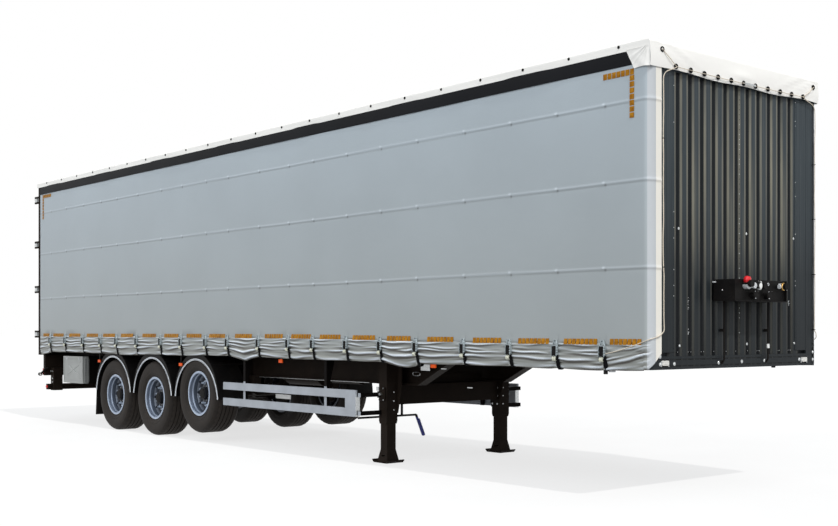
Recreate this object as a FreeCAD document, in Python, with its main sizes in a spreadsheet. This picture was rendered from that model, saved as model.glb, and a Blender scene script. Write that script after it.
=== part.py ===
import FreeCAD, Part
import math
import os

import Sketcher

# Curtain-sided three-axle semi trailer. Millimetres, +X towards the front wall, +Y to the left,
# +Z up; the origin is on the ground, at the centre of the whole trailer's box.

SIZES = (
    # name, millimetres
    ("body_length", 13700),
    ("body_width", 2550),
    ("body_height", 4000),
    ("coupling_height", 1157),
    ("neck_depth", 143),
    ("deck_thickness", 28),
    ("box_depth", 215),
    ("coupling_reach", 75),
    # chassis
    ("beam_to_wheel", 392.5),
    ("beam_flange_width", 130),
    ("beam_flange_thickness", 16),
    ("beam_web_thickness", 8),
    ("beam_depth", 392),
    ("neck_length", 3200),
    ("gooseneck_length", 720),
    ("gooseneck_bend_length", 210),
    ("gooseneck_bend_drop", 46),
    ("gooseneck_bend_radius", 520),
    ("stiffener_thickness", 10),
    ("member_pitch", 655),
    ("member_width", 50),
    ("member_height", 82),
    ("outrigger_tip", 60),
    ("rail_height", 65),
    ("rail_thickness", 40),
    ("coupler_setback", 60),
    ("coupler_length", 2300),
    ("coupler_width", 1150),
    ("coupler_thickness", 8),
    ("kingpin_setback", 1600),
    ("kingpin_bridge_length", 300),
    ("kingpin_bridge_thickness", 12),
    ("kingpin_flange_radius", 45),
    ("kingpin_flange_gap", 1),
    ("kingpin_collar_radius", 35.5),
    ("kingpin_collar_length", 19),
    ("kingpin_shoulder_length", 30),
    ("kingpin_neck_radius", 25.4),
    ("kingpin_length", 84),
    # wheels
    ("axle_setback", 9410),
    ("axle_pitch", 1310),
    ("axle_lift", 115),
    ("tyre_radius", 535),
    ("tyre_width", 385),
    ("tyre_gap_to_side", 40),
    ("tyre_seat_gap", 0.5),
    ("tread_width", 290),
    ("shoulder_drop", 12),
    ("shoulder_height", 42),
    ("bead_height", 22),
    ("bead_inset", 4),
    ("rim_seat_radius", 286),
    ("rim_width", 300),
    ("rim_flange_height", 16),
    ("rim_flange_thickness", 10),
    ("rim_thickness", 12),
    ("rim_step", 12),
    ("rim_step_depth", 45),
    ("disc_offset", 20),
    ("disc_thickness", 12),
    ("dish_width", 37),
    ("dish_depth", 28),
    ("hand_hole_radius", 19),
    ("hand_hole_count", 10),
    ("hub_radius", 120),
    ("hub_length", 42),
    ("hub_cap_radius", 82),
    ("hub_cap_length", 45),
    ("hub_bore_depth", 40),
    ("hub_bore_gap", 1),
    ("drum_radius", 210),
    ("drum_length", 138),
    # axles and suspension
    ("spindle_radius", 45),
    ("spindle_gap", 10),
    ("axle_tube_radius", 64),
    ("brake_plate_radius", 195),
    ("brake_plate_thickness", 10),
    ("brake_plate_gap", 10),
    ("chamber_radius", 78),
    ("chamber_length", 150),
    ("chamber_place", 380),
    ("hanger_length", 200),
    ("hanger_offset", 480),
    ("cheek_thickness", 12),
    ("arm_width", 80),
    ("arm_gap", 2),
    ("arm_thickness", 44),
    ("arm_drop", 45),
    ("clamp_length", 150),
    ("clamp_thickness", 24),
    ("pivot_height", 60),
    ("pivot_radius", 14),
    ("pivot_gap", 1.5),
    ("arm_eye_radius", 36),
    ("spring_offset", 415),
    ("spring_radius", 150),
    ("spring_gap", 10),
    ("spring_seat_thickness", 25),
    ("piston_radius", 105),
    ("piston_height", 110),
    # mudguards
    ("guard_radius", 606),
    ("guard_centre_height", 590),
    ("guard_thickness", 6),
    ("guard_clearance", 8),
    ("guard_overhang", 8),
    ("guard_trim_radius", 605),
    ("guard_trim_height", 510),
    ("stay_radius", 14),
    ("stay_reach", 400),
    ("flap_height", 400),
    ("flap_top", 600),
    ("flap_thickness", 8),
    ("flap_lean", 40),
    # landing gear
    ("leg_setback", 4271),
    ("leg_inset", 415),
    ("leg_outer", 150),
    ("leg_inner", 122),
    ("leg_split", 440),
    ("leg_shoulder", 36),
    ("leg_plate_thickness", 12),
    ("leg_plate_bottom", 560),
    ("leg_plate_flare", 75),
    ("foot_length", 300),
    ("foot_width", 230),
    ("foot_base_length", 190),
    ("foot_base_width", 170),
    ("foot_top", 150),
    ("foot_sole_thickness", 12),
    ("foot_toe_height", 36),
    ("foot_toe_length", 28),
    ("foot_slot_height", 78),
    ("foot_slot_length", 64),
    ("foot_slot_width", 16),
    ("leg_beam_height", 225),
    ("leg_beam_depth", 100),
    ("leg_beam_thickness", 8),
    ("crank_radius", 12),
    ("crank_height", 515),
    ("crank_reach", 1215),
    ("crank_inner_end", 392),
    ("crank_grip_radius", 15),
    ("crank_grip_length", 265),
    ("crank_hook_width", 30),
    ("crank_hook_place", 600),
    ("crank_hook_thickness", 8),
    # side guards
    ("side_guard_rear_setback", 7350),
    ("side_guard_front_setback", 4360),
    ("side_guard_rail_height", 95),
    ("side_guard_rail_thickness", 25),
    ("side_guard_low", 530),
    ("side_guard_high", 735),
    ("side_guard_inset", 25),
    ("side_guard_end_length", 205),
    ("side_guard_post_width", 50),
    ("side_guard_post_depth", 38),
    ("side_guard_gusset", 90),
    ("side_guard_post_rear", 500),
    ("side_guard_post_front", 640),
    ("side_guard_arm_height", 62),
    ("side_guard_arm_length", 50),
    # underbody
    ("toolbox_length", 760),
    ("toolbox_height", 430),
    ("toolbox_gap", 50),
    ("toolbox_bottom", 662),
    ("toolbox_reach", 1850),
    ("toolbox_border", 38),
    ("toolbox_relief", 5),
    ("toolbox_side_step", 14),
    ("toolbox_bracket_width", 60),
    ("tank_radius", 140),
    ("tank_length", 800),
    ("tank_drop", 130),
    ("tank_place", 300),
    ("tank_strap_width", 50),
    ("tank_member", 4),
    ("lamp_beam_height", 130),
    ("lamp_beam_depth", 75),
    ("lamp_beam_inset", 60),
    ("lamp_wing_gap", 40),
    ("underrun_bottom", 515),
    ("underrun_height", 95),
    ("underrun_depth", 100),
    ("underrun_inset", 75),
    ("underrun_groove", 12),
    ("support_width", 150),
    ("support_place", 970),
    ("support_thickness", 60),
    ("support_bottom", 500),
    ("rear_lamp_length", 400),
    ("rear_lamp_height", 110),
    ("rear_lamp_thickness", 40),
    # markers
    ("front_marker_place", 1055),
    ("front_marker_length", 90),
    ("front_marker_height", 44),
    ("front_marker_thickness", 16),
    ("side_marker_length", 84),
    ("side_marker_height", 40),
    ("side_marker_thickness", 12),
    ("marker_strip_width", 30),
    ("marker_strip_thickness", 4),
    # walls
    ("pillar_width", 175),
    ("pillar_depth", 120),
    ("header_height", 240),
    ("panel_rib_depth", 30),
    ("panel_rib_count", 12),
    ("panel_thickness", 3),
    ("panel_setback", 8),
    ("sill_groove_height", 12),
    ("sill_groove_depth", 6),
    ("curtain_thickness", 15),
    ("curtain_inset", 5),
    ("curtain_clearance", 2),
    ("corner_radius", 75),
    ("curtain_return", 175),
    ("curtain_drop", 97),
    ("roof_side_height", 80),
    ("roof_flap_height", 240),
    ("roof_thickness", 8),
    ("cant_rail_height", 110),
    ("cant_rail_width", 70),
    ("cant_rail_lip", 18),
    ("bow_width", 60),
    ("bow_height", 40),
    ("bow_count", 7),
    ("post_count", 3),
    ("post_width", 120),
    ("post_depth", 50),
    ("post_wall", 8),
    ("post_gap", 5),
    # connections on the front wall
    ("service_box_width", 800),
    ("service_box_place", 360),
    ("service_box_height", 195),
    ("service_box_bottom", 1765),
    ("service_box_wall", 6),
    ("service_box_recess", 25),
    ("line_radius", 8),
    ("line_bend", 32),
    ("line_low", 1210),
    ("gland_radius", 16),
    ("gland_length", 14),
    ("line_clip_height", 1500),
    ("line_clip_width", 26),
    # rear
    ("door_thickness", 40),
    ("door_gap", 5),
    ("door_edge_gap", 6),
    ("door_inset", 40),
    ("door_rise", 40),
    ("door_top_gap", 30),
    ("hinge_standoff", 65),
    ("hinge_inset", 15),
    ("hinge_count", 4),
    ("hinge_margin", 250),
    ("hinge_height", 60),
    ("knuckle_radius", 15),
    ("knuckle_gap", 1),
    ("lug_thickness", 24),
    ("lug_depth", 35),
    ("pin_radius", 8),
    ("strap_length", 300),
    ("strap_thickness", 6),
    ("rear_frame_depth", 120),
    ("rear_pillar_width", 110),
    ("rear_header_height", 130),
    ("rear_sill_drop", 60),
    ("bar_radius", 14),
    ("bar_standoff", 22),
    ("bar_place_inner", 200),
    ("bar_place_outer", 850),
    ("keeper_width", 70),
    ("keeper_height", 60),
    ("handle_length", 380),
    ("handle_height", 30),
    ("handle_thickness", 12),
    ("handle_place", 420),
)

document = FreeCAD.newDocument("SemiTrailer")
sheet = document.addObject("Spreadsheet::Sheet", "Sizes")


class Size:
    """A value together with the sheet expression that gives it."""

    def __init__(self, value, text):
        self.value = value
        self.text = text

    def _with(self, other, sign, act):
        other = size(other)
        return Size(act(self.value, other.value), f"({self.text} {sign} {other.text})")

    def __add__(self, other):
        return self._with(other, "+", lambda a, b: a + b)

    def __sub__(self, other):
        return self._with(other, "-", lambda a, b: a - b)

    def __mul__(self, other):
        return self._with(other, "*", lambda a, b: a * b)

    def __truediv__(self, other):
        return self._with(other, "/", lambda a, b: a / b)

    def __radd__(self, other):
        return size(other) + self

    def __rsub__(self, other):
        return size(other) - self

    def __rmul__(self, other):
        return size(other) * self

    def __neg__(self):
        return self * -1


def size(number):
    """A plain number as a Size; a Size is returned as it is."""
    return number if isinstance(number, Size) else Size(float(number), f"({number})")


class Sheet:
    """The driving sizes, read by name."""


def fill_sheet():
    """Write every driving size into a cell with an alias, and hand them back by name."""
    named = Sheet()
    for row, (name, value) in enumerate(SIZES, start=1):
        sheet.set(f"A{row}", name)
        sheet.set(f"B{row}", str(value))
        sheet.setAlias(f"B{row}", name)
        setattr(named, name, Size(float(value), f"Sizes.{name}"))
    document.recompute()
    return named


S = fill_sheet()
nodes = []


# ---------------------------------------------------------------- building blocks

def bind(piece, place, amount):
    """Bind one property of a document object to the sheet."""
    piece.setExpression(place, size(amount).text)


def move(piece, x=0, y=0, z=0):
    """Bind the place of an object."""
    for axis, amount in (("x", x), ("y", y), ("z", z)):
        bind(piece, f"Placement.Base.{axis}", amount)
    return piece


def turn(piece, axis, angle):
    """Turn an object about an axis through its own origin."""
    piece.Placement = FreeCAD.Placement(FreeCAD.Vector(), FreeCAD.Rotation(FreeCAD.Vector(*axis), angle))
    return piece


def box(name, x, y, z):
    """Box between the low and high values given along each axis."""
    piece = document.addObject("Part::Box", name)
    for side, (low, high) in (("Length", x), ("Width", y), ("Height", z)):
        bind(piece, side, size(high) - low)
    return move(piece, x[0], y[0], z[0])


AXIS_TURN = {
    "X": ((0, 1, 0), 90),
    "Y": ((1, 0, 0), -90),
    "Z": ((0, 0, 1), 0),
}


def rod(name, radius, length, axis, x, y, z):
    """Cylinder that starts at a point and runs along +X, +Y or +Z."""
    piece = document.addObject("Part::Cylinder", name)
    bind(piece, "Radius", radius)
    bind(piece, "Height", length)
    return move(turn(piece, *AXIS_TURN[axis]), x, y, z)


def fuse(name, pieces):
    """One solid from pieces that meet or overlap."""
    joined = document.addObject("Part::MultiFuse", name)
    joined.Shapes = pieces
    joined.Refine = True
    return joined


def common(name, pieces):
    """What the pieces share."""
    shared = document.addObject("Part::MultiCommon", name)
    shared.Shapes = pieces
    return shared


def cut(name, base, tool):
    """The base with the tool taken away."""
    rest = document.addObject("Part::Cut", name)
    rest.Base = base
    rest.Tool = tool
    return rest


def group(name, pieces):
    """Separate solids that share a node."""
    together = document.addObject("Part::Compound", name)
    together.Links = pieces
    return together


def add_edge(sketch, start, stop, radius):
    """One edge of an outline, as a line or, with a radius, as an arc. Arcs are drawn counter-clockwise,
    so one that bulges to the left of its run has its ends swapped. Says whether it was swapped."""
    a = FreeCAD.Vector(start[0].value, start[1].value, 0)
    b = FreeCAD.Vector(stop[0].value, stop[1].value, 0)
    if radius is None:
        sketch.addGeometry(Part.LineSegment(a, b), False)
        return False
    radius = size(radius)
    side = 1 if radius.value > 0 else -1
    along = b - a
    outward = FreeCAD.Vector(along.y, -along.x, 0).normalize() * side
    bulge = abs(radius.value) - math.sqrt(radius.value ** 2 - (along.Length / 2) ** 2)
    crown = (a + b) * 0.5 + outward * bulge
    swapped = side < 0
    ends = (b, a) if swapped else (a, b)
    number = sketch.addGeometry(Part.Arc(ends[0], crown, ends[1]), False)
    rule = sketch.addConstraint(Sketcher.Constraint("Radius", number, abs(radius.value)))
    sketch.setExpression(f"Constraints[{rule}]", (radius * side).text)
    return swapped


def sketch_on(body, name, plane, loops):
    """Sketch of closed outlines. A corner is (across, up) or (across, up, radius): the edge that
    leaves it is then an arc of that radius, bulging to the right of its run, or to the left where
    the radius is negative."""
    sketch = body.newObject("Sketcher::SketchObject", name)
    origin = [part for part in body.Origin.OriginFeatures if part.Role == plane]
    sketch.AttachmentSupport = [(origin[0], "")]
    sketch.MapMode = "FlatFace"
    for loop in loops:
        first = sketch.GeometryCount
        corners = [(size(corner[0]), size(corner[1])) for corner in loop]
        swapped = []
        for index, corner in enumerate(loop):
            radius = corner[2] if len(corner) > 2 else None
            swapped.append(add_edge(sketch, corners[index], corners[(index + 1) % len(loop)], radius))
        for index in range(len(loop)):
            later = (index + 1) % len(loop)
            tail = 1 if swapped[index] else 2
            head = 2 if swapped[later] else 1
            sketch.addConstraint(Sketcher.Constraint("Coincident", first + index, tail, first + later, head))
            for kind, amount in zip(("DistanceX", "DistanceY"), corners[later]):
                rule = Sketcher.Constraint(kind, -1, 1, first + later, head, amount.value)
                number = sketch.addConstraint(rule)
                sketch.setExpression(f"Constraints[{number}]", amount.text)
    return sketch


def prism(name, plane, loops, low, high):
    """Body extruded from outlines: plane XY runs along Z, YZ along X and XZ along Y."""
    body = document.addObject("PartDesign::Body", name)
    sketch = sketch_on(body, name + "_outline", plane + "_Plane", loops)
    pad = body.newObject("PartDesign::Pad", name + "_pad")
    pad.Profile = sketch
    bind(pad, "Length", size(high) - low)
    if plane == "XZ":
        return move(body, y=high)
    return move(body, z=low) if plane == "XY" else move(body, x=low)


def turned(name, loop, angle=360):
    """Body revolved about Y: corners are (radius, place along Y)."""
    body = document.addObject("PartDesign::Body", name)
    sketch = sketch_on(body, name + "_profile", "XY_Plane", [loop])
    revolve = body.newObject("PartDesign::Revolution", name + "_turn")
    revolve.Profile = sketch
    revolve.ReferenceAxis = (sketch, ["V_Axis"])
    revolve.Angle = angle
    return body


def node(name, piece):
    """Register a sub-part: its label is its file's name."""
    piece.Label = name
    nodes.append(piece)
    return piece


def span(side, inner, outer):
    """Low and high Y of something between two distances from the middle, on one side."""
    return (inner, outer) if side > 0 else (-size(outer), -size(inner))


def around(middle, width):
    """Low and high of something of one width about a middle."""
    return (size(middle) - size(width) / 2, size(middle) + size(width) / 2)


def count(amount):
    """A size used as a whole number of copies."""
    return int(amount.value)


SIDES = ((-1, "right"), (1, "left"))

# ---------------------------------------------------------------- shared places

half_width = S.body_width / 2
rear_reach = S.hinge_standoff + S.knuckle_radius
front = (S.body_length + rear_reach - S.box_depth - S.coupling_reach) / 2
door_face = front - S.body_length
door_inner = door_face + S.door_thickness
portal_rear = door_inner + S.door_gap
portal_front = portal_rear + S.rear_frame_depth
deck_top = S.coupling_height + S.neck_depth
deck_bottom = deck_top - S.deck_thickness
beam_bottom = deck_bottom - S.beam_depth
frame_setback = S.curtain_thickness + S.curtain_clearance
frame_face = front - frame_setback
wall_rear = frame_face - S.pillar_depth
wall_inner = half_width - S.pillar_width
middle_axle = front - S.axle_setback
wheel_plane = half_width - S.tyre_gap_to_side - S.tyre_width / 2
curtain_outer = half_width - S.curtain_inset
curtain_inner = curtain_outer - S.curtain_thickness
roof_side_bottom = S.body_height - S.roof_side_height
roof_under = S.body_height - S.roof_thickness
header_bottom = S.body_height - S.header_height
leg_place = front - S.leg_setback
leg_plane = half_width - S.leg_inset
leg_inner_face = leg_plane - S.leg_outer / 2
leg_outer_face = leg_plane + S.leg_outer / 2
beam_plane = wheel_plane - S.beam_to_wheel
neck_rear = front - S.neck_length
neck_foot = neck_rear - S.gooseneck_length
neck_bottom = S.coupling_height + S.coupler_thickness
member_low = deck_bottom - S.member_height
web_outer = beam_plane + S.beam_web_thickness / 2
web_inner = beam_plane - S.beam_web_thickness / 2
flange_outer = beam_plane + S.beam_flange_width / 2
flange_inner = beam_plane - S.beam_flange_width / 2
rail_outer = curtain_inner
rail_inner = rail_outer - S.rail_thickness
rail_bottom = deck_top - S.rail_height
side_guard_face = half_width - S.side_guard_inset
guard_outer = curtain_inner - S.guard_clearance
AXLES = (
    # name, places ahead of the middle axle, share of the lift
    ("front", 1, 1),
    ("middle", 0, 0),
    ("rear", -1, 0),
)


def axle_x(steps):
    return middle_axle + S.axle_pitch * steps


def axle_z(lifted):
    return S.tyre_radius + S.axle_lift * lifted


# ---------------------------------------------------------------- chassis

def make_main_beams():
    """Two I-section beams, deep over the axles and shallow in the gooseneck. The lower flange bends
    into the neck. Stiffeners stand outside the web over each hanger and at the legs."""
    beams = []
    flange = S.beam_flange_thickness
    bend = neck_rear - S.gooseneck_bend_length
    lower = [(portal_front, beam_bottom), (neck_foot, beam_bottom),
             (bend, neck_bottom - S.gooseneck_bend_drop, -S.gooseneck_bend_radius),
             (neck_rear, neck_bottom), (wall_rear, neck_bottom)]
    upper = [(wall_rear, neck_bottom + flange),
             (neck_rear, neck_bottom + flange, S.gooseneck_bend_radius),
             (bend, neck_bottom - S.gooseneck_bend_drop + flange), (neck_foot, beam_bottom + flange),
             (portal_front, beam_bottom + flange)]
    stiffened = [axle_x(steps) + S.hanger_offset for name, steps, lifted in AXLES] + [leg_place]
    for side, hand in SIDES:
        plane = beam_plane * side
        closed = lower + [(wall_rear, deck_bottom), (portal_front, deck_bottom)]
        web = prism(f"beam_web_{hand}", "XZ", [closed], *around(plane, S.beam_web_thickness))
        top = box(f"beam_top_{hand}", (portal_front, wall_rear), around(plane, S.beam_flange_width),
                  (deck_bottom - flange, deck_bottom))
        low = prism(f"beam_low_{hand}", "XZ", [lower + upper], *around(plane, S.beam_flange_width))
        ribs = [box(f"stiffener_{index}_{hand}", around(x, S.stiffener_thickness),
                    span(side, web_outer, flange_outer), (beam_bottom, member_low))
                for index, x in enumerate(stiffened)]
        beams.append(fuse(f"beam_{hand}", [web, top, low] + ribs))
    node("main_beams", group("main_beams", beams))


def make_cross_members():
    """Members between the webs and tapered outriggers to the side rails, at one pitch counted from
    the middle axle. Above a wheel there is no outrigger."""
    members = []
    under_flange = deck_bottom - S.beam_flange_thickness
    between = [(-web_inner, member_low), (web_inner, member_low), (web_inner, under_flange),
               (flange_inner, under_flange), (flange_inner, deck_bottom), (-flange_inner, deck_bottom),
               (-flange_inner, under_flange), (-web_inner, under_flange)]
    ahead = int((wall_rear.value - middle_axle.value - S.member_width.value) // S.member_pitch.value)
    behind = int((middle_axle.value - portal_front.value - S.member_width.value) // S.member_pitch.value)
    for step in range(-behind, ahead + 1):
        place = middle_axle + S.member_pitch * step
        low, high = around(place, S.member_width)
        tag = step + behind
        members.append(prism(f"member_{tag}", "YZ", [between], low, high))
        gaps = [abs(place.value - axle_x(steps).value) for name, steps, lifted in AXLES]
        if min(gaps) < S.tyre_width.value:
            continue
        for side, hand in SIDES:
            outline = [(web_outer * side, member_low), (flange_outer * side, member_low),
                       ((rail_inner - S.outrigger_tip) * side, rail_bottom), (rail_inner * side, rail_bottom),
                       (rail_inner * side, deck_bottom), (flange_outer * side, deck_bottom),
                       (flange_outer * side, under_flange), (web_outer * side, under_flange)]
            members.append(prism(f"outrigger_{tag}_{hand}", "YZ", [outline], low, high))
    node("cross_members", group("cross_members", members))


def make_side_rails():
    """Edge rails beside the deck, seated on the ends of the outriggers."""
    rails = [box(f"rail_{hand}", (portal_front, wall_rear), span(side, rail_inner, rail_outer),
                 (rail_bottom, deck_top)) for side, hand in SIDES]
    node("side_rails", group("side_rails", rails))


def make_deck():
    node("floor_deck", box("floor_deck", (portal_front, wall_rear), (-rail_inner, rail_inner),
                           (deck_bottom, deck_top)))


def make_coupler():
    """Rubbing plate with the kingpin's flange through it, hung from a bridge across the beams."""
    ahead = wall_rear - S.coupler_setback
    x = front - S.kingpin_setback
    low, top = S.coupling_height, S.coupling_height + S.coupler_thickness
    plate = box("coupler_blank", (ahead - S.coupler_length, ahead), around(0, S.coupler_width), (low, top))
    hole = rod("coupler_hole", S.kingpin_flange_radius + S.kingpin_flange_gap, S.coupler_thickness * 3, "Z",
               x, 0, low - S.coupler_thickness)
    node("coupler_plate", cut("coupler_plate", plate, hole))
    end = low - S.kingpin_length
    bridge = box("kingpin_bridge", around(x, S.kingpin_bridge_length), (-flange_inner, flange_inner),
                 (top, top + S.kingpin_bridge_thickness))
    flange = rod("kingpin_flange", S.kingpin_flange_radius, S.coupler_thickness, "Z", x, 0, low)
    neck = rod("kingpin_neck", S.kingpin_neck_radius, S.kingpin_length, "Z", x, 0, end)
    collar = rod("kingpin_collar", S.kingpin_collar_radius, S.kingpin_collar_length, "Z", x, 0, end)
    shoulder = rod("kingpin_shoulder", S.kingpin_collar_radius, S.kingpin_shoulder_length, "Z",
                   x, 0, low - S.kingpin_shoulder_length)
    node("kingpin", fuse("kingpin", [bridge, flange, neck, collar, shoulder]))


# ---------------------------------------------------------------- wheels

def place_wheel(piece, side, steps, lifted):
    """Put a wheel's piece on its axle with its outer face outward."""
    turn(piece, (0, 0, 1), 0 if side > 0 else 180)
    return move(piece, axle_x(steps), side * wheel_plane, axle_z(lifted))


def tyre_profile():
    """Half the section from bead to tread, then its mirror."""
    half, tread = S.tyre_width / 2, S.tread_width / 2
    bead = S.rim_width / 2 - S.bead_inset
    over_flange = S.rim_seat_radius + S.bead_height
    outer_half = [
        (S.rim_seat_radius + S.tyre_seat_gap, bead),
        (over_flange, bead),
        (over_flange + S.shoulder_height, half - S.shoulder_drop),
        ((over_flange + S.tyre_radius) / 2, half),
        (S.tyre_radius - S.shoulder_height, half - S.shoulder_drop),
        (S.tyre_radius - S.shoulder_drop, tread + S.shoulder_drop),
        (S.tyre_radius, tread),
    ]
    return outer_half + [(radius, -y) for radius, y in reversed(outer_half)]


def rim_profile():
    """Stepped barrel with a deep-set dished disc, and the hub and brake drum behind it."""
    edge = S.rim_width / 2
    lip = edge + S.rim_flange_thickness
    flange = S.rim_seat_radius + S.rim_flange_height
    inner = S.rim_seat_radius - S.rim_thickness
    step = inner - S.rim_step
    flat = step - S.dish_width
    face = S.disc_offset
    back = face - S.disc_thickness
    bore = S.spindle_radius + S.hub_bore_gap
    bore_end = face - S.hub_bore_depth
    drum_end = back - S.drum_length
    hub_face = face + S.hub_length
    cap_face = hub_face + S.hub_cap_length
    step_start = lip - S.rim_step_depth
    return [
        (S.rim_seat_radius, -edge), (flange, -edge), (flange, -lip), (inner, -lip),
        (inner, back + S.dish_depth), (flat, back), (S.drum_radius, back), (S.drum_radius, drum_end),
        (bore, drum_end), (bore, bore_end), (0, bore_end), (0, cap_face),
        (S.hub_cap_radius, cap_face), (S.hub_cap_radius, hub_face), (S.hub_radius, hub_face),
        (S.hub_radius, face), (flat, face), (step, face + S.dish_depth), (step, step_start - S.rim_step),
        (inner, step_start), (inner, lip), (flange, lip), (flange, edge), (S.rim_seat_radius, edge),
    ]


def make_wheels():
    ring = S.rim_seat_radius - S.rim_thickness - S.rim_step - S.dish_width / 2
    for name, steps, lifted in AXLES:
        for side, hand in SIDES:
            tag = f"{name}_{hand}"
            tyre = place_wheel(turned(f"tyre_{tag}", tyre_profile()), side, steps, lifted)
            node(f"tyre_{tag}", tyre)
            blank = place_wheel(turned(f"rim_blank_{tag}", rim_profile()), side, steps, lifted)
            low, high = span(side, wheel_plane + S.disc_offset - S.disc_thickness * 2,
                             wheel_plane + S.disc_offset + S.dish_depth * 2)
            holes = []
            for index in range(count(S.hand_hole_count)):
                angle = 2 * math.pi * (index + 0.5) / S.hand_hole_count.value
                holes.append(rod(f"hand_hole_{tag}_{index}", S.hand_hole_radius, size(high) - low, "Y",
                                 axle_x(steps) + ring * math.sin(angle), low,
                                 axle_z(lifted) + ring * math.cos(angle)))
            node(f"rim_{tag}", cut(f"rim_{tag}", blank, group(f"hand_holes_{tag}", holes)))


# ---------------------------------------------------------------- axles and suspension

pivot_z = beam_bottom - S.hanger_length + S.pivot_height


def seat_z(lifted):
    """Top of the plate that an air spring stands on."""
    return axle_z(lifted) - S.arm_drop


def arm_outline(x, lifted):
    """Trailing arm from the pivot, over the axle and down to the spring's seat."""
    half = S.arm_thickness / 2
    over = axle_z(lifted) + S.axle_tube_radius + half
    hinge = x + S.hanger_offset
    clamp = S.clamp_length / 2
    seat_start = x - S.spring_offset + S.spring_radius + S.spring_gap
    seat_end = x - S.spring_offset - S.piston_radius
    seat = seat_z(lifted)
    return [(hinge, pivot_z + half), (x + clamp, over + half), (x - clamp, over + half), (seat_start, seat),
            (seat_end, seat), (seat_end, seat - S.spring_seat_thickness),
            (seat_start, seat - S.spring_seat_thickness), (x - clamp, over - half), (x + clamp, over - half),
            (hinge, pivot_z - half)]


def make_axles():
    """Axle tube with spindles, brake plates and chambers, and a trailing arm clamped on each side."""
    for name, steps, lifted in AXLES:
        x, z = axle_x(steps), axle_z(lifted)
        plate = wheel_plane + S.disc_offset - S.disc_thickness - S.drum_length - S.brake_plate_gap
        tube_reach = plate - S.brake_plate_thickness
        reach = wheel_plane + S.disc_offset - S.hub_bore_depth - S.spindle_gap
        clamp_half = S.axle_tube_radius + S.clamp_thickness
        pieces = [
            rod(f"axle_tube_{name}", S.axle_tube_radius, tube_reach * 2, "Y", x, -tube_reach, z),
            rod(f"axle_spindle_{name}", S.spindle_radius, reach * 2, "Y", x, -reach, z),
        ]
        bores = []
        eye_x = x + S.hanger_offset
        for side, hand in SIDES:
            tag = f"{name}_{hand}"
            across = around(side * beam_plane, S.arm_width)
            pieces += [
                prism(f"arm_{tag}", "XZ", [arm_outline(x, lifted)], *across),
                rod(f"arm_eye_{tag}", S.arm_eye_radius, S.arm_width, "Y", eye_x, across[0], pivot_z),
                box(f"arm_clamp_{tag}", around(x, S.clamp_length), across, around(z, clamp_half * 2)),
                rod(f"brake_plate_{tag}", S.brake_plate_radius, S.brake_plate_thickness, "Y", x,
                    span(side, tube_reach, plate)[0], z),
                rod(f"chamber_{tag}", S.chamber_radius, S.chamber_length, "X", x, side * S.chamber_place,
                    z + S.axle_tube_radius / 2),
            ]
            bores.append(rod(f"arm_bore_{tag}", S.pivot_radius + S.pivot_gap, S.arm_width, "Y",
                             eye_x, across[0], pivot_z))
        solid = fuse(f"axle_with_arms_{name}", pieces)
        node(f"axle_{name}", cut(f"axle_{name}", solid, group(f"arm_bores_{name}", bores)))


HANGER_SPREAD = 0.7      # reach of a hanger's foot along the beam, as a share of its length


def make_suspension():
    """Forked hangers under the beams with the arms' pivot pins, and the air springs behind each axle."""
    hangers, springs = [], []
    inside = S.arm_width + S.arm_gap * 2
    width = inside + S.cheek_thickness * 2
    low = beam_bottom - S.hanger_length
    slim, broad = S.arm_eye_radius + S.cheek_thickness, S.hanger_length * HANGER_SPREAD
    for name, steps, lifted in AXLES:
        x = axle_x(steps)
        place = x + S.hanger_offset
        for side, hand in SIDES:
            tag = f"{name}_{hand}"
            middle = side * beam_plane
            shell = prism(f"hanger_block_{tag}", "XZ", [[
                (place - slim, low), (place + slim, low), (place + broad, beam_bottom),
                (place - broad / 2, beam_bottom)]], *around(middle, width))
            slot = box(f"hanger_slot_{tag}", (place - S.hanger_length, place + slim - S.cheek_thickness / 2),
                       around(middle, inside), (low - S.cheek_thickness, pivot_z + S.arm_eye_radius * 1.5))
            pin = rod(f"hanger_pin_{tag}", S.pivot_radius, width, "Y", place, middle - width / 2, pivot_z)
            hangers.append(fuse(f"hanger_{tag}", [cut(f"hanger_fork_{tag}", shell, slot), pin]))
            springs.append(make_spring(tag, x - S.spring_offset, middle, seat_z(lifted)))
    node("hangers", group("hangers", hangers))
    node("air_springs", group("air_springs", springs))


PISTON_TAPER = 0.9       # top radius of a spring's piston over its foot


def make_spring(tag, x, y, low):
    """Rolling-lobe air spring: the bellows folds down over a tapered piston."""
    height = beam_bottom - low
    waist = S.piston_radius * PISTON_TAPER
    lobe = S.spring_radius - waist
    profile = [(0, 0), (S.piston_radius, 0), (waist, S.piston_height),
               (waist + lobe / 4, S.piston_height - lobe / 2),
               (S.spring_radius - lobe / 4, S.piston_height - lobe / 2), (S.spring_radius, S.piston_height),
               (S.spring_radius, height - lobe), (S.piston_radius, height - lobe / 4),
               (S.piston_radius, height), (0, height)]
    return move(turn(turned(f"spring_{tag}", profile), (1, 0, 0), 90), x, y, low)


# ---------------------------------------------------------------- mudguards

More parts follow.
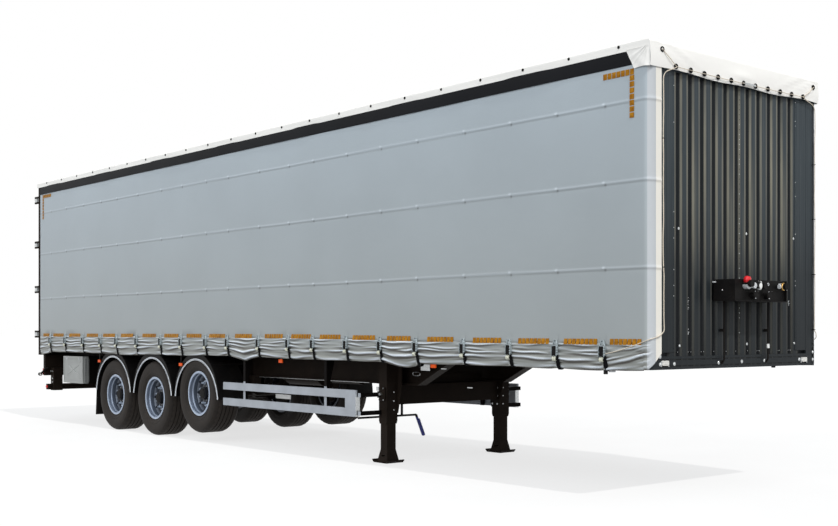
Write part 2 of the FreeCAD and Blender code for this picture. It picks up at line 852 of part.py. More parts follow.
def make_mudguards():
    """Half-round guards at one height on tubes from the beams' webs. Each has a crescent-shaped valance
    on its outer side, and a flap hangs behind the last pair."""
    flaps = []
    outer = guard_outer - wheel_plane
    inner = S.tyre_width / 2 + S.guard_overhang
    plate_back = outer - S.guard_thickness
    shell_outer = S.guard_radius + S.guard_thickness
    for side, hand in SIDES:
        guards = []
        for name, steps, lifted in AXLES:
            tag = f"{name}_{hand}"
            x = axle_x(steps)
            shell = turned(f"guard_shell_{tag}", [(S.guard_radius, -inner), (shell_outer, -inner),
                                                  (shell_outer, outer), (S.guard_radius, outer)], 180)
            plate = turned(f"guard_plate_{tag}", [(0, plate_back), (S.guard_radius, plate_back),
                                                  (S.guard_radius, outer), (0, outer)], 180)
            opening = rod(f"guard_opening_{tag}", S.guard_trim_radius, S.body_width, "Y", x, -half_width,
                          S.guard_trim_height)
            for piece in (shell, plate):
                turn(piece, *((0, 1, 0), 180) if side > 0 else ((1, 0, 0), 180))
                move(piece, x, wheel_plane * side, S.guard_centre_height)
            ends = span(side, web_outer, guard_outer - S.guard_thickness)
            rise = math.sqrt(shell_outer.value ** 2 - S.stay_reach.value ** 2)
            stays = [rod(f"guard_stay_{tag}_{way + 1}", S.stay_radius, size(ends[1]) - ends[0], "Y",
                         x + S.stay_reach * way, ends[0], S.guard_centre_height + rise)
                     for way in (-1, 1)]
            valance = cut(f"guard_valance_{tag}", plate, opening)
            guards.append(fuse(f"guard_{tag}", [shell, valance] + stays))
        node(f"mudguards_{hand}", group(f"mudguards_{hand}", guards))
        x = axle_x(-1) - shell_outer
        low = S.flap_top - S.flap_height
        flaps.append(prism(f"flap_{hand}", "XZ", [[
            (x - S.flap_lean, low), (x - S.flap_lean + S.flap_thickness, low),
            (x, S.flap_top - S.flap_thickness), (x, S.flap_top + S.flap_lean),
            (x - S.flap_thickness, S.flap_top + S.flap_lean),
            (x - S.flap_thickness, S.flap_top)]], *around(wheel_plane * side, S.tyre_width)))
    node("mudflaps", group("mudflaps", flaps))


# ---------------------------------------------------------------- landing gear

def make_landing_leg(side, hand):
    """Telescopic leg on a bolted side plate, with a flared foot that rocks on a slotted pin."""
    middle = side * leg_plane
    half = S.leg_outer / 2
    slim = S.leg_inner / 2
    shoulder = S.leg_split + S.leg_shoulder
    outer = prism(f"leg_outer_{hand}", "XZ", [[
        (leg_place - slim, S.leg_split), (leg_place + slim, S.leg_split), (leg_place + half, shoulder),
        (leg_place + half, member_low), (leg_place - half, member_low), (leg_place - half, shoulder)]],
        *around(middle, S.leg_outer))
    flare = half + S.leg_plate_flare
    plate_y = span(side, leg_inner_face - S.leg_plate_thickness, leg_inner_face)
    plate = prism(f"leg_plate_{hand}", "XZ", [[
        (leg_place - half, S.leg_plate_bottom), (leg_place + half, S.leg_plate_bottom),
        (leg_place + flare, beam_bottom), (leg_place + flare, member_low), (leg_place - flare, member_low),
        (leg_place - flare, beam_bottom)]], *plate_y)
    bracket = box(f"leg_bracket_{hand}", around(leg_place, S.leg_inner),
                  span(side, flange_outer, leg_inner_face), (beam_bottom, member_low))
    tube = box(f"leg_tube_{hand}", around(leg_place, S.leg_inner), around(middle, S.leg_inner),
               (S.foot_sole_thickness, shoulder))
    foot = make_foot(hand, middle)
    slot = box(f"leg_slot_{hand}", around(leg_place, S.foot_slot_length), around(middle, S.foot_width),
               around(S.foot_slot_height, S.foot_slot_width))
    solid = fuse(f"leg_solid_{hand}", [outer, plate, bracket, tube] + foot)
    node(f"landing_leg_{hand}", cut(f"landing_leg_{hand}", solid, slot))


def make_foot(hand, middle):
    """Flared base, tapered both ways, on a sole with turned-up toes."""
    top_half, low = S.leg_inner / 2, S.foot_sole_thickness
    long, wide = S.foot_base_length / 2, S.foot_base_width / 2
    ways = (
        # plane, centre, half of the base, low and high across it
        ("XZ", leg_place, long, around(middle, S.foot_base_width)),
        ("YZ", middle, wide, around(leg_place, S.foot_base_length)),
    )
    wedges = [prism(f"foot_wedge_{plane}_{hand}", plane, [[
        (centre - base, low), (centre + base, low), (centre + top_half, S.foot_top),
        (centre - top_half, S.foot_top)]], *across) for plane, centre, base, across in ways]
    reach, thick = S.foot_length / 2, S.foot_sole_thickness
    toe = reach - S.foot_toe_length
    sole = prism(f"foot_sole_{hand}", "XZ", [[
        (leg_place - toe, 0), (leg_place + toe, 0), (leg_place + reach, S.foot_toe_height - thick),
        (leg_place + reach, S.foot_toe_height), (leg_place + toe, thick), (leg_place - toe, thick),
        (leg_place - reach, S.foot_toe_height), (leg_place - reach, S.foot_toe_height - thick)]],
        *around(middle, S.foot_width))
    return [common(f"foot_base_{hand}", wedges), sole]


GRIP_TURN = 203          # degrees from upright to the crank's folded grip


def make_landing_gear():
    """Two legs, the channel between them and the crank stowed behind the right leg."""
    for side, hand in SIDES:
        make_landing_leg(side, hand)
    rear, face = around(leg_place, S.leg_beam_depth)
    low = beam_bottom - S.leg_beam_height
    wall = S.leg_beam_thickness
    reach = leg_inner_face - S.leg_plate_thickness
    node("landing_brace", prism("landing_brace", "XZ", [[
        (rear, low), (face, low), (face, beam_bottom), (rear, beam_bottom), (rear, beam_bottom - wall),
        (face - wall, beam_bottom - wall), (face - wall, low + wall), (rear, low + wall)]], -reach, reach))
    x = leg_place - S.leg_outer / 2 - S.crank_radius
    shaft = rod("crank_shaft", S.crank_radius, S.crank_reach - S.crank_inner_end, "Y", x, -S.crank_reach,
                S.crank_height)
    grip = document.addObject("Part::Cylinder", "crank_grip")
    bind(grip, "Radius", S.crank_grip_radius)
    bind(grip, "Height", S.crank_grip_length)
    move(turn(grip, (1, 0, 0), GRIP_TURN), x, -S.crank_inner_end, S.crank_height)
    hook = box("crank_hook", (x - S.crank_hook_thickness / 2, x + S.crank_hook_thickness / 2),
               around(-S.crank_hook_place, S.crank_hook_width), (S.crank_height, low))
    tab = box("crank_tab", (x - S.crank_hook_thickness / 2, rear + S.leg_beam_thickness),
              around(-S.crank_hook_place, S.crank_hook_width), (low - S.crank_hook_thickness, low))
    node("landing_crank", fuse("landing_crank", [shaft, grip, hook, tab]))


# ---------------------------------------------------------------- side guards

def make_side_guards():
    """Two rails and an end plate on each side, on posts from the side rail and arms from the leg."""
    rear, ahead = front - S.side_guard_rear_setback, front - S.side_guard_front_setback
    face, back = side_guard_face, side_guard_face - S.side_guard_rail_thickness
    top = S.side_guard_high + S.side_guard_rail_height
    leg_rear = leg_place - S.leg_outer / 2
    rails = (("low", S.side_guard_low), ("high", S.side_guard_high))
    for side, hand in SIDES:
        across = span(side, back, face)
        pieces = [box(f"side_guard_{level}_{hand}", (rear, ahead), across,
                      (low, low + S.side_guard_rail_height)) for level, low in rails]
        pieces.append(box(f"side_guard_end_{hand}", (ahead - S.side_guard_end_length, ahead), across,
                          (S.side_guard_low, top)))
        inner = back - S.side_guard_post_depth
        for index, place in enumerate((rear + S.side_guard_post_rear, ahead - S.side_guard_post_front)):
            outline = [(back * side, S.side_guard_low), (back * side, rail_bottom),
                       ((inner - S.side_guard_gusset) * side, rail_bottom), (inner * side, top),
                       (inner * side, S.side_guard_low)]
            pieces.append(prism(f"side_guard_post_{index}_{hand}", "YZ", [outline],
                                *around(place, S.side_guard_post_width)))
        arm_x = (leg_rear, leg_rear + S.side_guard_arm_length)
        arm_y = span(side, leg_outer_face, back)
        for level, low in rails:
            pieces.append(box(f"side_guard_arm_{level}_{hand}", arm_x, arm_y,
                              (low + S.side_guard_arm_height / 4, low + S.side_guard_arm_height)))
        node(f"side_guard_{hand}", fuse(f"side_guard_{hand}", pieces))


# ---------------------------------------------------------------- underbody

def make_toolbox():
    """Locker with an embossed door, hung from the right beam."""
    ahead = door_face + S.toolbox_reach
    rear = ahead - S.toolbox_length
    outer, inner = side_guard_face - S.toolbox_relief, flange_outer + S.toolbox_gap
    low, top = S.toolbox_bottom, S.toolbox_bottom + S.toolbox_height
    case = box("toolbox_case", (rear, ahead), (-outer, -inner), (low, top))
    border, relief = S.toolbox_border, S.toolbox_relief
    side_step = box("toolbox_side_step", (ahead, ahead + S.toolbox_side_step), (-outer + border, -inner),
                    (low + border / 2, top - border / 2))
    pocket = box("toolbox_pocket", (rear + border, ahead - border), (-outer - relief, -outer + relief),
                 (low + border, top - border))
    inset = border * 1.5
    emboss = []
    for name, z, run in (("upper", top - inset, -1), ("lower", low + inset, 1)):
        emboss.append(prism(f"toolbox_emboss_{name}", "XZ", [
            [(rear + inset, z), (ahead - inset, z), (ahead - inset * 2, z + border * run),
             (rear + inset * 2, z + border * run)][::-run]], -outer, -outer + relief * 2))
    places = (rear + S.toolbox_bracket_width * 2, ahead - S.toolbox_bracket_width * 2)
    brackets = [box(f"toolbox_bracket_{index}", around(place, S.toolbox_bracket_width),
                    (-inner, -flange_outer), (beam_bottom, top)) for index, place in enumerate(places)]
    front_door = cut("toolbox_door", case, pocket)
    node("toolbox", fuse("toolbox", [front_door, side_step] + emboss + brackets))


def make_underrun():
    """Lamp beam under the rear ends of the main beams with a wing up to the sill on each side of
    them, and a grooved bar on two broad supports."""
    beam_x = (portal_front, portal_front + S.lamp_beam_depth)
    low = beam_bottom - S.lamp_beam_height
    lamp_reach = half_width - S.lamp_beam_inset
    beam = box("lamp_beam", beam_x, (-lamp_reach, lamp_reach), (low, beam_bottom))
    wings = [box(f"lamp_wing_{hand}", beam_x, span(side, flange_outer + S.lamp_wing_gap, lamp_reach),
                 (beam_bottom, S.coupling_height - S.rear_sill_drop)) for side, hand in SIDES]
    rear, ahead = beam_x[1], beam_x[1] + S.underrun_depth
    bottom, top = S.underrun_bottom, S.underrun_bottom + S.underrun_height
    middle = (bottom + top) / 2
    groove = S.underrun_groove
    bar_reach = half_width - S.underrun_inset
    bar = prism("underrun_bar", "XZ", [[
        (rear, bottom), (ahead, bottom), (ahead, middle - groove), (ahead - groove, middle - groove / 2),
        (ahead - groove, middle + groove / 2), (ahead, middle + groove), (ahead, top), (rear, top),
        (rear, middle + groove), (rear + groove, middle + groove / 2), (rear + groove, middle - groove / 2),
        (rear, middle - groove)]], -bar_reach, bar_reach)
    supports = [box(f"underrun_support_{hand}", (rear, ahead + S.support_thickness / 2),
                    span(side, S.support_place, S.support_place + S.support_width),
                    (S.support_bottom, beam_bottom)) for side, hand in SIDES]
    node("underrun_guard", fuse("underrun_guard", [beam, bar] + wings + supports))
    lamps = [box(f"rear_lamp_{hand}", (portal_front - S.rear_lamp_thickness, portal_front),
                 span(side, lamp_reach - S.rear_lamp_length, lamp_reach),
                 around((low + beam_bottom) / 2, S.rear_lamp_height)) for side, hand in SIDES]
    node("rear_lamps", group("rear_lamps", lamps))


def make_air_tanks():
    """Two air tanks strapped under a cross member."""
    tanks = []
    place = middle_axle + S.member_pitch * S.tank_member
    low = member_low - S.tank_drop - S.tank_radius
    for side, hand in SIDES:
        y = side * S.tank_place
        drum = rod(f"tank_drum_{hand}", S.tank_radius, S.tank_length, "X", place - S.tank_length / 2, y, low)
        strap = box(f"tank_strap_{hand}", around(place, S.tank_strap_width), around(y, S.tank_radius),
                    (low, member_low))
        tanks.append(fuse(f"tank_{hand}", [drum, strap]))
    node("air_tanks", group("air_tanks", tanks))


def make_markers():
    """Amber lamps along the sides on strips from the side rail, and clear ones on the front sill."""
    places = (
        # distance behind the front, height of the lamp's middle, distance of its back from the middle
        (11190, 1035, curtain_inner - S.marker_strip_thickness),
        (8520, 1035, curtain_inner - S.marker_strip_thickness),
        (5939, 1128, curtain_inner - S.side_marker_thickness - S.curtain_clearance),
        (2965, 1132, curtain_inner - S.side_marker_thickness - S.curtain_clearance),
    )
    lamps = []
    for side, hand in SIDES:
        for index, (setback, height, back) in enumerate(places):
            x = front - setback
            low, high = around(height, S.side_marker_height)
            lens = box(f"side_marker_lens_{index}_{hand}", around(x, S.side_marker_length),
                       span(side, back, back + S.side_marker_thickness), (low, high))
            strip = box(f"side_marker_strip_{index}_{hand}", around(x, S.marker_strip_width),
                        span(side, back - S.marker_strip_thickness, back), (low, rail_bottom))
            lamps.append(fuse(f"side_marker_{index}_{hand}", [lens, strip]))
    node("side_markers", group("side_markers", lamps))
    clear = []
    for side, hand in SIDES:
        low, high = around((S.coupling_height + deck_bottom) / 2, S.front_marker_height)
        across = around(side * S.front_marker_place, S.front_marker_length)
        bend = S.front_marker_height / 4
        outline = [(across[0] + bend, low), (across[1] - bend, low, bend), (across[1], low + bend),
                   (across[1], high - bend, bend), (across[1] - bend, high), (across[0] + bend, high, bend),
                   (across[0], high - bend), (across[0], low + bend, bend)]
        clear.append(prism(f"front_marker_{hand}", "YZ", [outline], frame_face,
                           frame_face + S.front_marker_thickness))
    node("front_markers", group("front_markers", clear))


# ---------------------------------------------------------------- front wall

def make_front_frame():
    """Header, grooved sill and round-cornered pillars."""
    outer = curtain_inner - S.curtain_clearance
    low, groove = S.coupling_height, S.sill_groove_height
    groove_face = frame_face - S.sill_groove_depth
    height = deck_bottom - low
    outline = [(wall_rear, low), (frame_face, low)]
    for share in (1, 3):
        middle = low + height * share / 4
        foot, head = around(middle, groove)
        outline += [(frame_face, foot), (groove_face, foot), (groove_face, head), (frame_face, head)]
    outline += [(frame_face, deck_bottom), (wall_rear, deck_bottom)]
    pieces = [box("front_header", (wall_rear, frame_face), (-wall_inner, wall_inner),
                  (header_bottom, roof_under)),
              prism("front_sill", "XZ", [outline], -wall_inner, wall_inner)]
    bend = S.corner_radius - frame_setback
    for side, hand in SIDES:
        corner = [(wall_rear, wall_inner * side), (wall_rear, outer * side),
                  (frame_face - bend, outer * side, -bend * side), (frame_face, (outer - bend) * side),
                  (frame_face, wall_inner * side)]
        pieces.append(prism(f"pillar_{hand}", "XY", [corner], S.coupling_height, roof_under))
    node("front_frame", fuse("front_frame", pieces))


FIRST_RIB = 0.62         # start of the first rib from the panel's edge, in pitches
RIB_LAND = 0.45          # width of a rib's flat face, in pitches
RIB_RISE = 0.15          # width of a rib's flank, in pitches
rib_pitch = wall_inner * 2 / (S.panel_rib_count + 1)
rib_land = rib_pitch * RIB_LAND
rib_rise = rib_pitch * RIB_RISE
rib_face = frame_face - S.panel_setback
rib_back = rib_face - S.panel_rib_depth


def rib_start(index):
    """Where the slope of a rib begins."""
    return rib_pitch * (index + FIRST_RIB) - wall_inner


def rib_centre(index):
    return rib_start(index) + rib_rise + rib_land / 2


def make_front_panel():
    """Corrugated panel of one sheet thickness, its ribs standing forward of the flat lands."""
    outline = [(-wall_inner, rib_back)]
    for index in range(count(S.panel_rib_count)):
        start = rib_start(index)
        near, far = start + rib_rise, start + rib_rise + rib_land
        outline += [(start, rib_back), (near, rib_face), (far, rib_face), (far + rib_rise, rib_back)]
    outline.append((wall_inner, rib_back))
    returning = [(y, x - S.panel_thickness) for y, x in reversed(outline)]
    loop = [(x, y) for y, x in outline + returning]
    node("front_panel", prism("front_panel", "XY", [loop], deck_bottom, header_bottom))


BODY_SHARE = 0.7         # length of a connection's body, as a share of its reach
CONNECTIONS = (
    # name, share of the box's width, share of its height, body radius, head radius, share of the reach
    ("emergency_line", 0.20, 0.80, 20, 32, 1.0),
    ("brake_electric", 0.40, 0.76, 30, 34, 0.6),
    ("service_electric", 0.54, 0.72, 27, 31, 0.5),
    ("service_line", 0.87, 0.72, 20, 32, 1.0),
    ("lower_socket_right", 0.36, 0.26, 30, 35, 0.55),
    ("lower_socket_left", 0.62, 0.26, 30, 35, 0.55),
)


def make_service_box():
    """Open-fronted box on the front wall whose inset panel carries the couplings and sockets."""
    low, high = S.service_box_bottom, S.service_box_bottom + S.service_box_height
    right = -S.service_box_place
    left = right + S.service_box_width
    rim, panel = front + S.box_depth, front + S.box_depth - S.service_box_recess
    wall = S.service_box_wall
    shell = box("service_shell", (rib_face, rim), (right, left), (low, high))
    recess = box("service_recess", (panel, rim + wall), (right + wall, left - wall),
                 (low + wall, high + wall))
    pieces = [cut("service_case", shell, recess)]
    for name, across, up, body, head, share in CONNECTIONS:
        y, z = right + S.service_box_width * across, low + S.service_box_height * up
        reach = (S.service_box_recess + S.coupling_reach) * share
        body_length = reach * BODY_SHARE
        pieces += [rod(f"{name}_body", body, body_length, "X", panel, y, z),
                   rod(f"{name}_head", head, reach - body_length, "X", panel + body_length, y, z)]
    node("service_box", fuse("service_box", pieces))


def make_service_lines():
    """Two lines from the box down the wall, each clipped to a rib and led into the sill by a gland."""
    lines = []
    x = frame_face + S.line_bend
    for hand, rib in (("right", 4), ("left", 8)):
        y = rib_centre(rib)
        top = S.line_low + S.line_bend
        elbow = document.addObject("Part::Torus", f"line_elbow_{hand}")
        bind(elbow, "Radius1", S.line_bend)
        bind(elbow, "Radius2", S.line_radius)
        elbow.Angle3 = 90
        move(turn(elbow, (1, 0, 0), -90), frame_face, y, top)
        lines.append(fuse(f"line_{hand}", [
            rod(f"line_run_{hand}", S.line_radius, S.service_box_bottom - top, "Z", x, y, top),
            elbow,
            rod(f"line_gland_{hand}", S.gland_radius, S.gland_length, "X", frame_face, y, S.line_low),
            box(f"line_clip_{hand}", (rib_face, x), around(y, S.line_clip_width),
                around(S.line_clip_height, S.line_clip_width)),
        ]))
    node("service_lines", group("service_lines", lines))


# ---------------------------------------------------------------- roof and curtains

def make_roof():
    """Tarpaulin cap with its side bands and front flap, on the cant rails, bows and posts."""
    inner = half_width - S.roof_thickness
    top = S.body_height
    outline = [(-half_width, roof_side_bottom), (-inner, roof_side_bottom), (-inner, roof_under),
               (inner, roof_under), (inner, roof_side_bottom), (half_width, roof_side_bottom),
               (half_width, top), (-half_width, top)]
    cap = prism("roof_cap", "YZ", [outline], portal_rear, front)
    flap = box("roof_flap", (front, front + S.roof_thickness), (-half_width, half_width),
               (top - S.roof_flap_height, top))
    node("roof_cover", fuse("roof_cover", [cap, flap]))
    rail_low = roof_under - S.cant_rail_height
    inside = rail_outer - S.cant_rail_width
    lip = S.cant_rail_lip
    rails = []
    for side, hand in SIDES:
        profile = [(inside, roof_under - S.bow_height), (rail_outer - lip, rail_low), (rail_outer, rail_low),
                   (rail_outer, roof_under), (inside, roof_under)]
        rails.append(prism(f"cant_rail_{hand}", "YZ", [[(y * side, z) for y, z in profile]],
                           portal_front, wall_rear))
    node("cant_rails", group("cant_rails", rails))
    pitch = (wall_rear - portal_front) / S.bow_count
    bows = [box(f"bow_{index}", around(portal_front + pitch * (index + 0.5), S.bow_width), (-inside, inside),
                (roof_under - S.bow_height, roof_under)) for index in range(count(S.bow_count))]
    node("roof_bows", group("roof_bows", bows))


def make_posts():
    """Hat-section posts between the side rail and the cant rail, open towards the inside."""
    posts = []
    gap = (wall_rear - portal_front) / (S.post_count + 1)
    rail_low = roof_under - S.cant_rail_height
    wall = S.post_wall
    for side, hand in SIDES:
        outer = (rail_outer - S.post_gap) * side
        inner = (rail_outer - S.post_gap - S.post_depth) * side
        web = outer - wall * side
        for index in range(count(S.post_count)):
            low, high = around(portal_front + gap * (index + 1), S.post_width)
            outline = [(low, inner), (low, outer), (high, outer), (high, inner), (high - wall, inner),
                       (high - wall, web), (low + wall, web), (low + wall, inner)]
            posts.append(prism(f"post_{index}_{hand}", "XY", [outline], deck_top, rail_low))
    node("side_posts", group("side_posts", posts))


LEFT_WRAP = 62           # degrees that the left curtain turns round its pillar


def make_curtains():
    """Side curtains. The right one is wrapped round the front pillar onto the front wall, and the
    left one ends part of the way round the bend."""
    radius, thick = S.corner_radius, S.curtain_thickness
    inside = radius - thick
    bend_x, bend_y = front - radius, curtain_outer - radius
    end = half_width - S.curtain_return
    low, top = S.coupling_height - S.curtain_drop, roof_side_bottom - S.curtain_clearance
    right = [(portal_front, -curtain_outer), (bend_x, -curtain_outer, radius), (front, -bend_y),
             (front, -end), (front - thick, -end), (front - thick, -bend_y, -inside),
             (bend_x, -curtain_inner), (portal_front, -curtain_inner)]
    sine, cosine = math.sin(math.radians(LEFT_WRAP)), math.cos(math.radians(LEFT_WRAP))
    left = [(portal_front, curtain_outer), (bend_x, curtain_outer, -radius),
            (bend_x + radius * sine, bend_y + radius * cosine),
            (bend_x + inside * sine, bend_y + inside * cosine, inside),
            (bend_x, curtain_inner), (portal_front, curtain_inner)]
    for hand, outline in (("right", right), ("left", left)):
        node(f"curtain_{hand}", prism(f"curtain_{hand}", "XY", [outline], low, top))


# ---------------------------------------------------------------- rear

hinge_x = door_face - S.hinge_standoff
hinge_y = half_width - S.hinge_inset
door_low = S.coupling_height + S.door_rise
door_high = S.body_height - S.door_top_gap


def hinge_places():
    """Heights of the hinges, the outer ones a margin away from the door's ends."""
    step = (door_high - door_low - S.hinge_margin * 2) / (S.hinge_count - 1)
    return [door_low + S.hinge_margin + step * index for index in range(count(S.hinge_count))]


def make_rear_frame():
    """Portal of pillars, header and sill, with lugs and pins for the door straps."""
    inner = curtain_inner - S.rear_pillar_width
    outer = curtain_inner - S.curtain_clearance
    low, knuckle = S.coupling_height - S.rear_sill_drop, S.hinge_height / 2
    depth = (portal_rear, portal_front)
    pieces = [box("rear_header", depth, (-outer, outer), (roof_under - S.rear_header_height, roof_under)),
              box("rear_sill", depth, (-outer, outer), (low, deck_top))]
    for side, hand in SIDES:
        pieces.append(box(f"rear_pillar_{hand}", depth, span(side, inner, outer), (low, roof_under)))
        for index, height in enumerate(hinge_places()):
            for name, foot in (("low", height - S.hinge_height), ("high", height + knuckle)):
                tag = f"{hand}_{index}_{name}"
                pieces.append(box(f"lug_{tag}", (hinge_x, portal_rear + S.lug_depth),
                                  around(side * hinge_y, S.lug_thickness), (foot, foot + knuckle)))
                pieces.append(rod(f"lug_eye_{tag}", S.knuckle_radius, knuckle, "Z",
                                  hinge_x, side * hinge_y, foot))
            pieces.append(rod(f"hinge_pin_{hand}_{index}", S.pin_radius, S.hinge_height * 2, "Z",
                              hinge_x, side * hinge_y, height - S.hinge_height))
    node("rear_frame", fuse("rear_frame", pieces))


def make_door(side, hand):
    """Door leaf with a strap, its web and its knuckle at each hinge."""
    outer = half_width - S.door_inset
    pieces = [box(f"leaf_{hand}", (door_face, door_inner), span(side, S.door_edge_gap, outer),
                  (door_low, door_high))]
    bores = []
    length = S.hinge_height - S.knuckle_gap * 2
    half_lug = S.lug_thickness / 2
    for index, height in enumerate(hinge_places()):
        tag = f"{hand}_{index}"
        z = around(height, length)
        across = span(side, half_width - S.strap_length, hinge_y + half_lug / 2)
        web = span(side, hinge_y - half_lug, hinge_y + half_lug / 2)
        pieces += [
            box(f"strap_{tag}", (door_face - S.strap_thickness, door_face), across, z),
            box(f"strap_web_{tag}", (hinge_x, door_face), web, z),
            rod(f"strap_eye_{tag}", S.knuckle_radius, length, "Z", hinge_x, side * hinge_y, z[0]),
        ]
        bores.append(rod(f"strap_bore_{tag}", S.pin_radius + S.knuckle_gap, S.hinge_height, "Z", hinge_x,
                         side * hinge_y, height - S.hinge_height / 2))
    solid = fuse(f"leaf_with_straps_{hand}", pieces)
    node(f"door_{hand}", cut(f"door_{hand}", solid, group(f"strap_bores_{hand}", bores)))


def make_door_bars(side, hand):
    """Two lock bars on a leaf, each in three keepers and with a folded handle."""
    sets = []
    x = door_face - S.bar_standoff
    keepers = (door_low + S.keeper_height, (door_low + door_high) / 2, door_high - S.keeper_height * 2)
    bars = (
        # name, place of the bar, where its handle begins and ends, handles' heights below it
        ("inner", S.bar_place_inner, 0, S.handle_length, 0),
        ("outer", S.bar_place_outer, -S.handle_length, 0, 2),
    )
    for name, place, begin, end, steps in bars:
        tag = f"{hand}_{name}"
        start = S.door_edge_gap + place
        y = side * start
        handle_low = door_low + S.handle_place + S.handle_height * steps
        pieces = [rod(f"bar_{tag}", S.bar_radius, door_high - door_low, "Z", x, y, door_low)]
        pieces += [box(f"keeper_{tag}_{level}", (x, door_face), around(y, S.keeper_width),
                       (z, z + S.keeper_height)) for level, z in enumerate(keepers)]
        pieces.append(box(f"handle_{tag}", around(x, S.handle_thickness),
                          span(side, start + begin, start + end), (handle_low, handle_low + S.handle_height)))
        sets.append(fuse(f"bar_set_{tag}", pieces))
    node(f"door_bars_{hand}", group(f"door_bars_{hand}", sets))


def make_doors():
    for side, hand in SIDES:
        make_door(side, hand)
        make_door_bars(side, hand)


# ---------------------------------------------------------------- build, check, export

def build():
    make_main_beams()
    make_cross_members()
    make_side_rails()
    make_deck()
    make_coupler()
    make_wheels()
    make_axles()
    make_suspension()
    make_mudguards()
    make_landing_gear()
    make_side_guards()
    make_toolbox()
    make_underrun()
    make_air_tanks()
    make_markers()
    make_front_frame()
    make_front_panel()
    make_service_box()
    make_service_lines()
    make_roof()
    make_posts()
    make_curtains()
    make_rear_frame()
    make_doors()
    document.recompute()


def check():
    """Stop where an object failed or a sub-part's shape is unsound."""
    for piece in document.Objects:
        if "Invalid" in piece.State or "Error" in piece.State:
            raise RuntimeError(f"{piece.Name} did not build: {piece.State}")
    for piece in nodes:
        if piece.Shape.isNull() or not piece.Shape.isValid():
            raise RuntimeError(f"{piece.Label} has no valid shape")


def export():
    os.makedirs("parts", exist_ok=True)
    for piece in nodes:
        piece.Shape.exportStep(f"parts/{piece.Label}.step")


build()
check()
export()
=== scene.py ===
"""Looks of a curtain-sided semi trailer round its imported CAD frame, in metres: +X forward, +Y left, +Z up."""
import functools
import itertools
import math
import operator
import random

import bmesh
import bpy
import numpy as np
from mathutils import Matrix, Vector


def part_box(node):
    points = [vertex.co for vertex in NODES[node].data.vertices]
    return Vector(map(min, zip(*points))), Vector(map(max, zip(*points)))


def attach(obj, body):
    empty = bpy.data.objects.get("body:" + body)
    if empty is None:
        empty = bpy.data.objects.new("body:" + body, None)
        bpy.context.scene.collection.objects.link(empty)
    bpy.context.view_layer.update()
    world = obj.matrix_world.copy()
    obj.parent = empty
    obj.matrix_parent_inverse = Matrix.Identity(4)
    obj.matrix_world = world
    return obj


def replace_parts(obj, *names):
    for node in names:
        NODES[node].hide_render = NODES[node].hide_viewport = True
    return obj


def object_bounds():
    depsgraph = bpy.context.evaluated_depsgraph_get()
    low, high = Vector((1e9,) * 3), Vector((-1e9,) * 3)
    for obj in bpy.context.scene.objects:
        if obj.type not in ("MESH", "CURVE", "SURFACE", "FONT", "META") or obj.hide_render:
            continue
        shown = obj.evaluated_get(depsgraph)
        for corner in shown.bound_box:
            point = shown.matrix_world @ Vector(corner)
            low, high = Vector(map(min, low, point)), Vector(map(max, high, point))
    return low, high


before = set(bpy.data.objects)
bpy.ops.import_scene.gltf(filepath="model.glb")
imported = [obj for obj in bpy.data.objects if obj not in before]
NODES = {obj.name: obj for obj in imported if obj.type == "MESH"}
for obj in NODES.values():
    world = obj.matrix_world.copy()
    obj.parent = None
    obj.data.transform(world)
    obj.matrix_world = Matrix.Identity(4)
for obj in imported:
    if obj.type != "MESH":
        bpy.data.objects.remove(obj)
cad_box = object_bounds()

random.seed(11)

# ---- places read from the frame

REAR, FRONT = (corner.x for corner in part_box("curtain_right"))   # ends of the curtain's outer face
CURTAIN_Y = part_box("curtain_left")[1].y                          # outer face of the side curtain
HALF = cad_box[1].y                                              # half width over the roof
TOP = cad_box[1].z
FRAME_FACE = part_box("front_frame")[1].x
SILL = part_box("front_frame")[0].z
RIB_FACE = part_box("front_panel")[1].x
RIB_BACK = RIB_FACE - 0.030
GUARD_END = FRAME_FACE + 0.017 - 4.360
# a leaf that is swung right round lies over the curtain as far forward as this
DOOR_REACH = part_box("door_right")[0].x + 1.34
BODY_LENGTH = 13.7
CORNER = 0.075                                   # radius of the curtain's bend round the front pillar
STRAPS = (-13.090, -12.465, -11.773, -11.116, -10.544, -9.848, -9.098, -8.482, -7.788, -7.200,
          -6.425, -5.738, -5.202, -4.515, -3.868, -3.230, -2.463, -1.777, -1.140, -0.541)
STRAP_X = [FRONT + x for x in STRAPS]
SIDES = ((-1, "right"), (1, "left"))
WHEELS = [(f"{axle}_{hand}", side) for axle in ("front", "middle", "rear") for side, hand in SIDES]
CENTRES = {wheel: sum(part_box(f"tyre_{wheel}"), Vector()) / 2 for wheel, _ in WHEELS}
X, Z = (1, 0, 0), (0, 0, 1)


# ---- materials

def srgb(*parts):
    """Linear colour of red, green and blue from 0 to 255."""
    return tuple(c / 255 / 12.92 if c <= 10 else ((c / 255 + 0.055) / 1.055) ** 2.4 for c in parts) + (1.0,)


def shade(colour, factor):
    return tuple(min(1.0, c * factor) for c in colour[:3]) + (1.0,)


def feed(tree, socket, value):
    """Links a field to a socket, or sets the socket's own value."""
    if isinstance(value, Field):
        tree.links.new(value.socket, socket)
    else:
        socket.default_value = value


